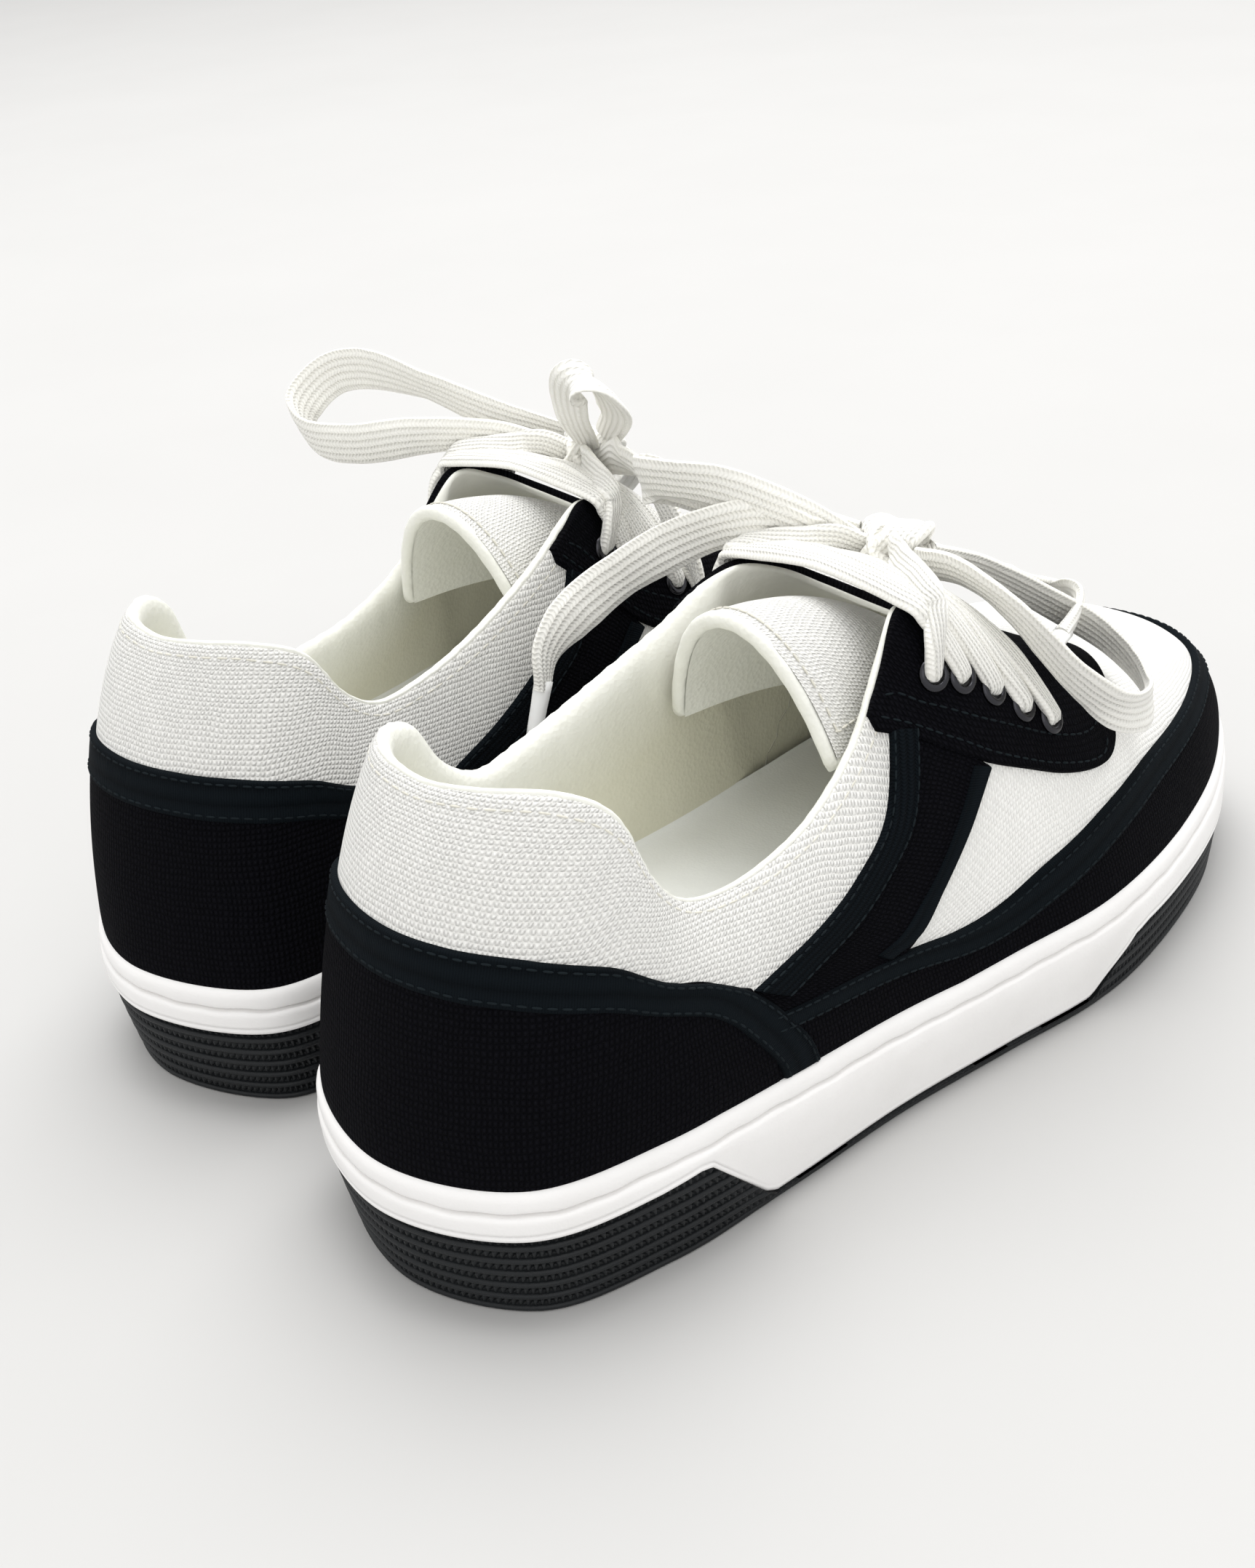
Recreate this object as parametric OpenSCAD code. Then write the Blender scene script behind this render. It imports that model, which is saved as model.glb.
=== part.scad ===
// A pair of low canvas sneakers with cupsoles, tied with flat cotton laces.
// Millimetres. Each shoe is drawn in its own frame: heel at the origin, toe along +Y,
// the lateral (outer) side at +X, the ground at z = 0. The left shoe is the mirror image.
// The upper is one surface, surf(k, v): k runs round the shoe (0 heel, 5 lateral waist,
// 10 toe, 15 medial waist) and v climbs from the sole (0) to the opening's edge (1).

/* [Pair] */
// Half the distance between the two heels
heel_half_gap = 50.25; // [48:0.25:80]
// How far the left shoe stands ahead of the right one
stagger = 9.6; // [0:0.2:20]
// Toe-out of each shoe, degrees
toe_out = 1.4; // [0:0.2:4]

/* [Upper] */
// Thickness of the white canvas
canvas = 0.8; // [0.6:0.1:0.9]
// Thickness of the black canvas laid over it
overlay = 0.7; // [0.5:0.1:0.7]
// Thickness of the trim ribbon
ribbon = 0.5; // [0.3:0.1:0.6]

/* [Laces] */
// Width of the flat lace
lace_w = 12; // [9:0.5:12]
// Thickness of the flat lace
lace_t = 2.2; // [1.6:0.1:2.4]

/* [Sole] */
// Thickness of the flat tread plate
tread = 2.4; // [1.5:0.1:2.4]
// Thickness of the white foxing's wall
foxing_wall = 2.2; // [1.8:0.1:2.2]

/* [Hidden] */
$fn = 48;

// Where each shoe's heel stands, so that the pair's box is centred on the origin.
heel_y = -145.3;

// ---- outline of the sole, seen from above ----
lateral_side = [[32, 13], [43, 43], [46, 77], [47.5, 110], [51.5, 142],
  [55.5, 174], [51.5, 208], [41, 242], [23, 269]];
medial_side = [[-35, 13], [-41.5, 43], [-36.5, 77], [-34, 110], [-36.5, 142],
  [-41, 174], [-44.5, 208], [-43.5, 242], [-32, 269]];
outline = concat([[0, 0]], lateral_side, [[-3.5, 281]], reversed(medial_side));
// Height of the foxing's top edge along the shoe
foxing_top = [[0, 32.5], [56, 32], [127, 27.5], [211, 28.5], [282, 32.5]];
// Height where black rubber meets white, at the heel and at the toe
heel_black = 21;
toe_black = 14.2;
// The white panel at the waist: its bottom edge and its four corners along the shoe
panel_low = 2.6;
panel_ys = [49, 71, 169, 186];
// How far the black rubber is cut under at the ground, heel and toe
undercut_heel = 4.3;
undercut_toe = 2.3;
rib_depth = 0.8;
// The upper's foot line stands this far inside the sole's outline
lip = 3.6;

// ---- the edge of the opening: topline, then throat ----
topline_lateral = [[14, 29.5, 108], [25, 40, 106], [29.5, 48.5, 99], [31, 54, 84],
  [31.5, 61, 75.5], [32, 73, 72.5], [32, 87, 73.5], [30.5, 101, 76.5],
  [28, 116, 84.5], [25, 128, 97], [22, 137, 107]];
topline_medial = [[-12, 28.5, 108], [-22, 36, 107], [-27, 45.5, 102], [-28.5, 53, 90],
  [-29, 62, 84], [-30, 74, 85], [-30, 87, 88], [-29, 101, 92.5],
  [-27, 116, 98], [-25, 128, 104], [-22, 137, 107]];
throat = [[19, 148, 103], [17, 160, 95], [15, 173, 86], [13, 185, 78],
  [10.5, 194, 72.5], [8.5, 199.5, 69.5], [6, 203, 68], [3, 205, 67]];
opening = concat([[1, 27, 107]], topline_lateral, throat, [[0, 205.5, 66.5]],
  reversed([for (p = throat) [-p.x, p.y, p.z]]), reversed(topline_medial));
// How round the section of the upper is, and how far it bulges, at each k
roundness = mirrored([0.5, 0.45, 0.25, 0.15, 0.12, 0.2, 0.4, 0.65, 0.85, 1, 1]);
bulge = [0, 2, 3.5, 3, 3, 3, 3, 2.5, 2, 1, 0, 1, 2, 2.5, 3, 3, 3, 2.5, 1, -0.5];

// ---- layers of the upper, as distances from its surface ----
base_in = 0;
base_out = canvas;
over_in = canvas + 0.4;
over_out = over_in + overlay;
trim_in = over_out + 0.4;
trim_out = trim_in + ribbon;
foam_out = -0.3;
foam_in = -1.9;
lining_out = -2.5;
lining_in = -3.2;

// ---- helpers ----
function reversed(a) = [for (i = [len(a) - 1:-1:0]) a[i]];
function mirrored(a) = concat(a, reversed([for (i = [1:len(a) - 2]) a[i]]));
function unit(v) = v / norm(v);
function spline(a, b, c, d, t) = 0.5 * ((2 * b) + (c - a) * t
  + (2 * a - 5 * b + 4 * c - d) * t * t + (3 * b - a - 3 * c + d) * t * t * t);
// A closed curve through the points; u counts points
function loop_at(p, u) =
  let (n = len(p), w = u - n * floor(u / n), i = floor(w) % n, t = w - floor(w))
  spline(p[(i + n - 1) % n], p[i], p[(i + 1) % n], p[(i + 2) % n], t);
// An open curve through the points; s runs from 0 to 1
function line_at(p, s) =
  let (n = len(p), u = s * (n - 1), i = min(floor(u), n - 2), t = u - i,
    a = i > 0 ? p[i - 1] : 2 * p[0] - p[1],
    d = i < n - 2 ? p[i + 2] : 2 * p[n - 1] - p[n - 2])
  spline(a, p[i], p[i + 1], d, t);

// ---- the surface of the upper ----
function side_normal(k) =
  let (d = loop_at(outline, k + 0.01) - loop_at(outline, k - 0.01)) unit([d.y, -d.x]);
function foot_line(k) =
  let (q = loop_at(outline, k) - lip * side_normal(k)) [q.x, q.y, lookup(q.y, foxing_top)];
function surf(k, v) =
  let (f = foot_line(k), q = loop_at(opening, 2 * k), r = loop_at(roundness, k),
    n = side_normal(k), w = max(v, 0),
    h = (1 - r) * w + r * (1 - cos(90 * w)), g = (1 - r) * w + r * sin(90 * w),
    b = 4 * w * (1 - w) * loop_at(bulge, k))
  [f.x + (q.x - f.x) * h + n.x * b, f.y + (q.y - f.y) * h + n.y * b,
    f.z + (q.z - f.z) * g + 60 * min(v, 0)];
function normal_at(k, v) =
  let (w = max(v, 0.01),
    along = surf(k + 0.03, w) - surf(k - 0.03, w), up = surf(k, w + 0.01) - surf(k, w - 0.01))
  unit(cross(along, up));
function skin(k, v, d) = surf(k, v) + d * normal_at(k, v);

// Faces of a closed slab from two grids of (m + 1) x (n + 1) points, outer grid first
function slab_faces(m, n) =
  let (s = (m + 1) * (n + 1), w = n + 1)
  concat(
    [for (i = [0:m - 1], j = [0:n - 1]) [i * w + j, i * w + j + 1, (i + 1) * w + j]],
    [for (i = [0:m - 1], j = [0:n - 1]) [i * w + j + 1, (i + 1) * w + j + 1, (i + 1) * w + j]],
    [for (i = [0:m - 1], j = [0:n - 1]) [s + i * w + j, s + (i + 1) * w + j, s + i * w + j + 1]],
    [for (i = [0:m - 1], j = [0:n - 1])
      [s + i * w + j + 1, s + (i + 1) * w + j, s + (i + 1) * w + j + 1]],
    [for (i = [0:m - 1]) [i * w, (i + 1) * w, s + i * w]],
    [for (i = [0:m - 1]) [(i + 1) * w, s + (i + 1) * w, s + i * w]],
    [for (i = [0:m - 1]) [i * w + n, s + i * w + n, (i + 1) * w + n]],
    [for (i = [0:m - 1]) [(i + 1) * w + n, s + i * w + n, s + (i + 1) * w + n]],
    [for (j = [0:n - 1]) [j, s + j, j + 1]],
    [for (j = [0:n - 1]) [j + 1, s + j, s + j + 1]],
    [for (j = [0:n - 1]) [m * w + j, m * w + j + 1, s + m * w + j]],
    [for (j = [0:n - 1]) [m * w + j + 1, s + m * w + j + 1, s + m * w + j]]);

// A piece of cloth on the upper, between a lower edge and an upper edge given in (k, v)
module cloth(low, high, inner, outer, m, n) {
  cells = [for (i = [0:m], j = [0:n])
    let (a = line_at(low, i / m), b = line_at(high, i / m)) a + (b - a) * j / n];
  polyhedron(
    points = concat([for (c = cells) skin(c.x, c.y, outer)],
      [for (c = cells) skin(c.x, c.y, inner)]),
    faces = slab_faces(m, n));
}

// The same edge on the medial side: k turns to 20 - k, and the order turns round
function medial(edge) = reversed([for (p = edge) [20 - p.x, p.y]]);
// An edge right round the heel, from its lateral points
function rear(edge) = concat([for (p = reversed(edge)) [-p.x, p.y]], [[0, edge[0].y]], edge);

// A flat strip swept along a route of [point, direction of its width] rows
function strip_ring(route, s, w, t) =
  let (p = line_at([for (r = route) r[0]], s),
    d = unit(line_at([for (r = route) r[0]], min(s + 0.01, 1))
      - line_at([for (r = route) r[0]], max(s - 0.01, 0))),
    a0 = line_at([for (r = route) r[1]], s), a = unit(a0 - (a0 * d) * d), b = cross(d, a))
  [for (c = [[0.5, 0], [0.36, 0.4], [0, 0.5], [-0.36, 0.4], [-0.5, 0], [-0.36, -0.4],
    [0, -0.5], [0.36, -0.4]]) p + a * c.x * w + b * c.y * t];
module strip(route, w, t, m) {
  rings = [for (i = [0:m]) each strip_ring(route, i / m, w, t)];
  sides = 8;
  polyhedron(points = rings, faces = concat(
    [[for (j = [0:sides - 1]) j]],
    [[for (j = [sides - 1:-1:0]) m * sides + j]],
    [for (i = [0:m - 1], j = [0:sides - 1])
      [i * sides + j, (i + 1) * sides + j, i * sides + (j + 1) % sides]],
    [for (i = [0:m - 1], j = [0:sides - 1])
      [i * sides + (j + 1) % sides, (i + 1) * sides + j, (i + 1) * sides + (j + 1) % sides]]));
}

module place_right() {
  translate([heel_half_gap, heel_y, 0]) rotate([0, 0, -toe_out]) children();
}
module place_left() {
  translate([-heel_half_gap, heel_y + stagger, 0]) rotate([0, 0, toe_out])
    mirror([1, 0, 0]) children();
}

// ---- sole ----
sole_points = 80;
// The outline drawn inwards by one distance at the heel and another at the toe
function inset_outline(heel, toe) = [for (i = [0:sole_points - 1])
  let (k = 20 * i / sole_points, q = loop_at(outline, k))
  q - (heel + (toe - heel) * q.y / 281) * side_normal(k)];
module plate(heel, toe, low, high) {
  translate([0, 0, low]) linear_extrude(height = high - low)
    polygon(inset_outline(heel, toe));
}
module ring(heel, toe, wall, low, high) {
  translate([0, 0, low]) linear_extrude(height = high - low) difference() {
    polygon(inset_outline(heel, toe));
    polygon(inset_outline(wall, wall));
  }
}
// A side view of the sole, [y, z], pushed right across it
module side_profile(points) {
  translate([-70, 0, 0]) rotate([90, 0, 90]) linear_extrude(height = 140) polygon(points);
}
black_top = [[-5, heel_black], [panel_ys[0], heel_black], [panel_ys[1], panel_low],
  [panel_ys[2], panel_low], [panel_ys[3], toe_black], [290, toe_black]];

module outsole() {
  plate(undercut_heel, undercut_toe, 0, tread);
  intersection() {
    side_profile(concat([[290, 0.5], [-5, 0.5]], black_top));
    for (i = [0:4]) {
      low = tread + i * (heel_black - tread) / 5;
      mid = low + 2.6;
      high = low + (heel_black - tread) / 5;
      in_heel = undercut_heel * (1 - (i + 0.5) / 5);
      in_toe = undercut_toe * max(0, 1 - (i + 0.5) / 3);
      union() {
        ring(in_heel, in_toe, 5.5, low, mid);
        ring(in_heel + rib_depth, in_toe + rib_depth, 5.5, mid, high);
      }
    }
  }
}
module foxing() {
  intersection() {
    side_profile(concat(black_top, [[290, 32.8]], reversed(foxing_top), [[-5, 32.5]]));
    union() {
      ring(0, 0, foxing_wall, heel_black, 40);
      ring(0, 0, 5.5, panel_low, heel_black);
    }
  }
}
module midsole() {
  plate(5.8, 5.8, tread, 20.4);
}
module footbed() {
  difference() {
    intersection() {
      plate(11, 9.5, 20.6, 46);
      side_profile([[0, 20], [290, 20], [290, 37], [250, 38.5], [205, 42], [150, 46], [0, 46]]);
    }
    translate([-2, 95, 1043]) sphere(r = 1000, $fn = 200);
  }
}

// ---- edges of the black overlays, in (k, v) on the lateral side ----
tuck = -0.08;
counter_top = [[0.4, 0.54], [0.8, 0.53], [1.2, 0.53], [1.6, 0.55], [2, 0.59], [2.4, 0.61],
  [2.8, 0.52]];
mudguard_top = [[3.0, 0.33], [3.9, 0.28], [4.8, 0.17], [5.5, 0.18], [6.4, 0.25],
  [7.1, 0.31], [8, 0.35], [9, 0.35], [10, 0.34]];
band_rear = [[2.86, 0.5], [3.15, 0.56], [3.55, 0.61], [4, 0.67], [4.4, 0.73], [4.7, 0.85]];
band_front = [[3.02, 0.35], [3.6, 0.34], [4.15, 0.29], [4.6, 0.36], [5, 0.43], [5.31, 0.49]];
eyestay_low = [[4.88, 0.89], [4.98, 0.82], [5.15, 0.65], [5.4, 0.51], [5.8, 0.42],
  [6.2, 0.36], [6.5, 0.36]];
eyestay_high = [[4.98, 0.99], [5.2, 0.99], [5.6, 0.99], [6.2, 0.99], [6.9, 0.99],
  [7.6, 0.99], [8.3, 0.99]];

module vamp() {
  cloth([[3.7, tuck], [6, tuck], [8, tuck], [10, tuck], [12, tuck], [14, tuck], [16.3, tuck]],
    [[5.22, 0.99], [6.5, 0.99], [8, 0.99], [10, 0.99], [12, 0.99], [13.5, 0.99],
      [14.78, 0.99]], base_in, base_out, 38, 7);
}
module mudguard() {
  both = concat(mudguard_top, reversed([for (i = [0:len(mudguard_top) - 2])
    [20 - mudguard_top[i].x, mudguard_top[i].y]]));
  cloth([for (p = both) [p.x, 0.02]], both, over_in, over_out, 44, 3);
}
module mudguard_ribbon() {
  both = concat(mudguard_top, reversed([for (i = [0:len(mudguard_top) - 2])
    [20 - mudguard_top[i].x, mudguard_top[i].y]]));
  inner = [for (p = both) [p.x < 10 ? max(p.x, 3.35) : min(p.x, 16.65), p.y]];
  cloth([for (p = inner) [p.x, p.y - 0.11]], inner, trim_in, trim_out, 44, 1);
}
module band(lateral) {
  low = lateral ? band_front : medial(band_front);
  high = lateral ? band_rear : medial(band_rear);
  cloth(low, high, over_in, over_out, 12, 5);
}
module band_ribbons() {
  wide = [for (p = band_rear) [p.x + 0.27, p.y - 0.05]];
  tip = [for (i = [2:5]) band_front[i]];
  slim = [for (p = tip) [p.x - 0.17, p.y + 0.03]];
  cloth(wide, band_rear, trim_in, trim_out, 10, 1);
  cloth(medial(wide), medial(band_rear), trim_in, trim_out, 10, 1);
  cloth(tip, slim, trim_in, trim_out, 8, 1);
  cloth(medial(tip), medial(slim), trim_in, trim_out, 8, 1);
}
module eyestay(lateral) {
  low = lateral ? eyestay_low : medial(eyestay_low);
  high = lateral ? eyestay_high : medial(eyestay_high);
  cloth(low, high, over_in, over_out + 0.2, 14, 5);
}
module collar() {
  low = [[-3.58, tuck], [-3, tuck], [-2, tuck], [-1, tuck], [0, tuck], [1, tuck],
    [2, tuck], [3, tuck], [3.58, tuck]];
  high = [[-5.08, 0.93], [-4, 0.93], [-3, 0.93], [-2, 0.93], [-1, 0.93], [0, 0.93],
    [1, 0.93], [2, 0.93], [3, 0.93], [4, 0.93], [5.08, 0.93]];
  cloth(low, high, base_in, base_out, 40, 6);
}
module heel_counter() {
  high = rear(counter_top);
  cloth([for (p = high) [p.x * 1.02, 0.02]], high, over_in, over_out, 28, 4);
}
module counter_ribbon() {
  high = rear(counter_top);
  cloth([for (p = high) [p.x, p.y - 0.13]], high, trim_in, trim_out, 28, 1);
  front_in = [[2.92, 0.03], [2.87, 0.1], [2.8, 0.19], [2.68, 0.29]];
  front_out = [[3.24, 0.03], [3.19, 0.14], [3.08, 0.27], [2.88, 0.44]];
  cloth(reversed(front_in), reversed(front_out), trim_in, trim_out, 6, 1);
  cloth(medial(reversed(front_in)), medial(reversed(front_out)), trim_in, trim_out, 6, 1);
}
module stiffeners() {
  cloth([[-2.6, -0.04], [-1.3, -0.04], [0, -0.04], [1.3, -0.04], [2.6, -0.04]],
    [[-2.4, 0.4], [-1.3, 0.48], [0, 0.5], [1.3, 0.48], [2.4, 0.4]], foam_in, foam_out, 20, 3);
  cloth([[8, -0.04], [9, -0.04], [10, -0.04], [11, -0.04], [12, -0.04]],
    [[8.4, 0.3], [9, 0.42], [10, 0.46], [11, 0.42], [11.6, 0.3]], -2.2, -1.3, 16, 4);
}
module lining(lateral) {
  low = [[0.03, 0.02], [1, 0.02], [2, 0.02], [3, 0.02], [4, 0.02], [5.2, 0.02]];
  high = [[0.03, 0.92], [1, 0.92], [2, 0.92], [3, 0.92], [4, 0.92], [5.2, 0.92]];
  cloth(lateral ? low : medial(low), lateral ? high : medial(high),
    lining_in, lining_out, 20, 5);
}
module topline_binding() {
  ks = [for (i = [-12:12]) i * 4.92 / 12];
  cloth([for (k = ks) [k, 0.945]], [for (k = ks) [k, 1]], lining_in, canvas + 0.1, 40, 1);
}
module collar_foam() {
  ks = [-4.2, -3, -2, -1, 0, 1, 2, 3, 4.2];
  cloth([for (k = ks) [k, 0.58]], [for (k = ks) [k, 0.91]], foam_in, foam_out, 28, 2);
}

// ---- tongue: an arched tunnel from the throat's end up to its open top edge ----
// Rows along the tongue: [y, crown height, half width, drop of the edges]
tongue_rows = [[201, 61.5, 14, 3], [192, 67, 16, 7], [180, 76, 18, 12],
  [166, 86.5, 19, 17], [152, 96.5, 19.5, 21], [138, 103.5, 19.5, 24], [124, 107.5, 20, 26],
  [111, 109.5, 20.5, 27]];
tongue_tip_bow = 5;
function tongue_at(a, s, d) =
  let (r = line_at(tongue_rows, s), t = a * 88)
  [(r[2] + d) * sin(t), r[0] + tongue_tip_bow * s * s * (1 - cos(t)) * (s > 0.5 ? 1 : 0.6),
    r[1] + d - (r[3]) * (1 - cos(t))];
module tongue_layer(inner, outer, m, n) {
  cells = [for (i = [0:m], j = [0:n]) [1 - 2 * i / m, j / n]];
  polyhedron(
    points = concat([for (c = cells) tongue_at(c.x, c.y, outer)],
      [for (c = cells) tongue_at(c.x, c.y, inner)]),
    faces = [for (f = slab_faces(m, n)) reversed(f)]);
}
module tongue() {
  tongue_layer(-1, 0, 10, 10);
}
module tongue_lining() {
  tongue_layer(-3.6, -1.3, 10, 10);
}

// ---- eyelets, [k, v] on the lateral side ----
eyelet_spots = [[5.36, 0.8], [5.56, 0.73], [5.77, 0.66], [5.96, 0.59], [6.15, 0.53]];
eyelet_r = 3.4;
eyelet_hole = 2;
module turned_to(point, direction) {
  translate(point)
    rotate([0, acos(direction.z), atan2(direction.y, direction.x)]) children();
}
module eyelets() {
  for (p = eyelet_spots, k = [p.x, 20 - p.x])
    turned_to(skin(k, p.y, over_out + 0.5), normal_at(k, p.y))
      rotate_extrude() translate([eyelet_hole, 0]) square([eyelet_r - eyelet_hole, 0.9]);
}

// ---- laces ----
// Half a row: from an eyelet up the eyestay and over its edge; side is 1 or -1
function row_half(p, side) =
  let (k = side > 0 ? p.x : 20 - p.x,
    f = unit(surf(k + 0.1 * side, p.y) - surf(k - 0.1 * side, p.y)),
    t = unit(surf(k + 0.1 * side, 0.97) - surf(k - 0.1 * side, 0.97)))
  [[skin(k, p.y, over_out + 2.9), f], [skin(k, p.y + (0.95 - p.y) * 0.4, over_out + 3.2), f],
    [skin(k, p.y + (0.95 - p.y) * 0.75, over_out + 4.9), t], [skin(k, 0.96, over_out + 4.7), t]];
module lace_rows() {
  for (p = eyelet_spots) {
    lateral = row_half(p, 1);
    crossed = row_half(p, -1);
    e = lateral[3][0];
    t = lateral[3][1];
    middle = [[[e.x / 2, e.y, e.z + 2.5], [0, t.y, t.z]], [[0, e.y, e.z + 3.2], [0, t.y, t.z]],
      [[-e.x / 2, e.y, e.z + 2.5], [0, t.y, t.z]]];
    strip(concat(lateral, middle, reversed(crossed)), 4, 1.2, 10);
  }
}
knot = [0, 166, 106];
module lace_knot() {
  translate(knot) rotate([0, 90, 0]) rotate_extrude() polygon([[0, -8], [4, -8],
    [6, -5.5], [6.4, -2], [6.4, 2], [6, 5.5], [4, 8], [0, 8]]);
}
up = [0, -0.3, 1];
right_loop_a = [[[-8.5, 161, 107], up], [[-18, 153, 114], up], [[-34, 145, 120], up],
  [[-48, 140, 121], up], [[-56, 142, 119], up], [[-54, 147, 117], up], [[-42, 150, 115], up],
  [[-26, 156, 112], up], [[-9, 164, 108], up]];
out = [0.4, -0.3, 0.9];
right_loop_b = [[[8.5, 166, 106], out], [[14, 180, 99], out], [[23, 192, 89], out],
  [[33, 200, 80], out], [[43, 200, 73], out], [[50, 193, 70], out], [[52, 179, 75], out],
  [[47, 168, 86], out], [[35, 163, 100], out], [[22, 162, 106], out], [[9, 163, 105], out]];
right_tail_a = [[[-8.5, 162, 106], up], [[-20, 153, 112], up], [[-34, 143, 111], up],
  [[-47, 132, 104], up], [[-55, 120, 96], up], [[-59, 110, 87], up], [[-59, 106, 77], up]];
flat = [1, 0.2, 0];
right_tail_b = [[[3, 171, 106], flat], [[3, 178, 101], flat], [[4, 187, 95], flat],
  [[7, 197, 89], flat], [[13, 206, 86], flat], [[20, 206, 85], flat], [[26, 199, 85], flat],
  [[30, 191, 85.5], flat], [[33, 183, 86], flat]];
left_loop_a = [[[8.5, 164, 111], up], [[24, 154, 117], up], [[44, 148, 124], up],
  [[62, 144, 127], up], [[73, 139, 125], up], [[76, 130, 118], up], [[68, 126, 112], up],
  [[54, 130, 111], up], [[38, 139, 113], up], [[22, 152, 112], up], [[9, 160, 108], up]];
left_loop_b = [[[-3, 161, 111.5], flat], [[-8, 153, 120], flat], [[-14, 146, 129], flat],
  [[-20, 142, 135], flat], [[-26, 144, 135], flat], [[-24, 151, 128], flat],
  [[-16, 159, 120], flat], [[-6, 166, 112], flat]];
left_tail_a = [[[-8.5, 162, 107], up], [[-20, 156, 112], up], [[-33, 151, 111], up],
  [[-44, 148, 103], up], [[-51, 147, 93], up], [[-53, 148, 82], up],
  [[-53, 149, 73], up], [[-52, 150, 66], up]];
left_tail_b = [[[3, 171, 106], flat], [[8, 183, 102], flat], [[17, 195, 93], flat],
  [[28, 203, 84], flat], [[38, 206, 77], flat], [[46, 204, 71], flat],
  [[53, 199, 67], flat]];
module lace(route, m) {
  strip(route, lace_w, lace_t, m);
}
// A hard tip that carries the cord on from the last two points of its route
module aglet(route) {
  last = route[len(route) - 1][0];
  way = unit(last - route[len(route) - 2][0]);
  turned_to(last + 0.05 * way, way) cylinder(d = 3.6, h = 12);
}

// ---- the nodes ----
module right_outsole() { place_right() outsole(); }
module right_foxing() { place_right() foxing(); }
module right_midsole() { place_right() midsole(); }
module right_footbed() { place_right() footbed(); }
module right_vamp() { place_right() vamp(); }
module right_mudguard() { place_right() mudguard(); }
module right_mudguard_ribbon() { place_right() mudguard_ribbon(); }
module right_eyestay_lateral() { place_right() eyestay(true); }
module right_eyestay_medial() { place_right() eyestay(false); }
module right_band_lateral() { place_right() band(true); }
module right_band_medial() { place_right() band(false); }
module right_band_ribbons() { place_right() band_ribbons(); }
module right_collar() { place_right() collar(); }
module right_heel_counter() { place_right() heel_counter(); }
module right_counter_ribbon() { place_right() counter_ribbon(); }
module right_stiffeners() { place_right() stiffeners(); }
module right_lining_lateral() { place_right() lining(true); }
module right_lining_medial() { place_right() lining(false); }
module right_topline_binding() { place_right() topline_binding(); }
module right_collar_foam() { place_right() collar_foam(); }
module right_tongue() { place_right() tongue(); }
module right_tongue_lining() { place_right() tongue_lining(); }
module right_eyelets() { place_right() eyelets(); }
module right_lace_rows() { place_right() lace_rows(); }
module right_lace_knot() { place_right() lace_knot(); }
module right_loop_a() { place_right() lace(right_loop_a, 11); }
module right_loop_b() { place_right() lace(right_loop_b, 12); }
module right_tail_a() { place_right() lace(right_tail_a, 7); }
module right_tail_b() { place_right() lace(right_tail_b, 9); }
module right_aglets() {
  place_right() {
    aglet(right_tail_a);
    aglet(right_tail_b);
  }
}
module left_outsole() { place_left() outsole(); }
module left_foxing() { place_left() foxing(); }
module left_midsole() { place_left() midsole(); }
module left_footbed() { place_left() footbed(); }
module left_vamp() { place_left() vamp(); }
module left_mudguard() { place_left() mudguard(); }
module left_mudguard_ribbon() { place_left() mudguard_ribbon(); }
module left_eyestay_lateral() { place_left() eyestay(true); }
module left_eyestay_medial() { place_left() eyestay(false); }
module left_band_lateral() { place_left() band(true); }
module left_band_medial() { place_left() band(false); }
module left_band_ribbons() { place_left() band_ribbons(); }
module left_collar() { place_left() collar(); }
module left_heel_counter() { place_left() heel_counter(); }
module left_counter_ribbon() { place_left() counter_ribbon(); }
module left_stiffeners() { place_left() stiffeners(); }
module left_lining_lateral() { place_left() lining(true); }
module left_lining_medial() { place_left() lining(false); }
module left_topline_binding() { place_left() topline_binding(); }
module left_collar_foam() { place_left() collar_foam(); }
module left_tongue() { place_left() tongue(); }
module left_tongue_lining() { place_left() tongue_lining(); }
module left_eyelets() { place_left() eyelets(); }
module left_lace_rows() { place_left() lace_rows(); }
module left_lace_knot() { place_left() lace_knot(); }
module left_loop_a() { place_left() lace(left_loop_a, 12); }
module left_loop_b() { place_left() lace(left_loop_b, 7); }
module left_tail_a() { place_left() lace(left_tail_a, 6); }
module left_tail_b() { place_left() lace(left_tail_b, 6); }
module left_aglets() {
  place_left() {
    aglet(left_tail_a);
    aglet(left_tail_b);
  }
}

right_outsole();
right_foxing();
right_midsole();
right_footbed();
right_vamp();
right_mudguard();
right_mudguard_ribbon();
right_eyestay_lateral();
right_eyestay_medial();
right_band_lateral();
right_band_medial();
right_band_ribbons();
right_collar();
right_heel_counter();
right_counter_ribbon();
right_stiffeners();
right_lining_lateral();
right_lining_medial();
right_topline_binding();
right_collar_foam();
right_tongue();
right_tongue_lining();
right_eyelets();
right_lace_rows();
right_lace_knot();
right_loop_a();
right_loop_b();
right_tail_a();
right_tail_b();
right_aglets();
left_outsole();
left_foxing();
left_midsole();
left_footbed();
left_vamp();
left_mudguard();
left_mudguard_ribbon();
left_eyestay_lateral();
left_eyestay_medial();
left_band_lateral();
left_band_medial();
left_band_ribbons();
left_collar();
left_heel_counter();
left_counter_ribbon();
left_stiffeners();
left_lining_lateral();
left_lining_medial();
left_topline_binding();
left_collar_foam();
left_tongue();
left_tongue_lining();
left_eyelets();
left_lace_rows();
left_lace_knot();
left_loop_a();
left_loop_b();
left_tail_a();
left_tail_b();
left_aglets();
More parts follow.
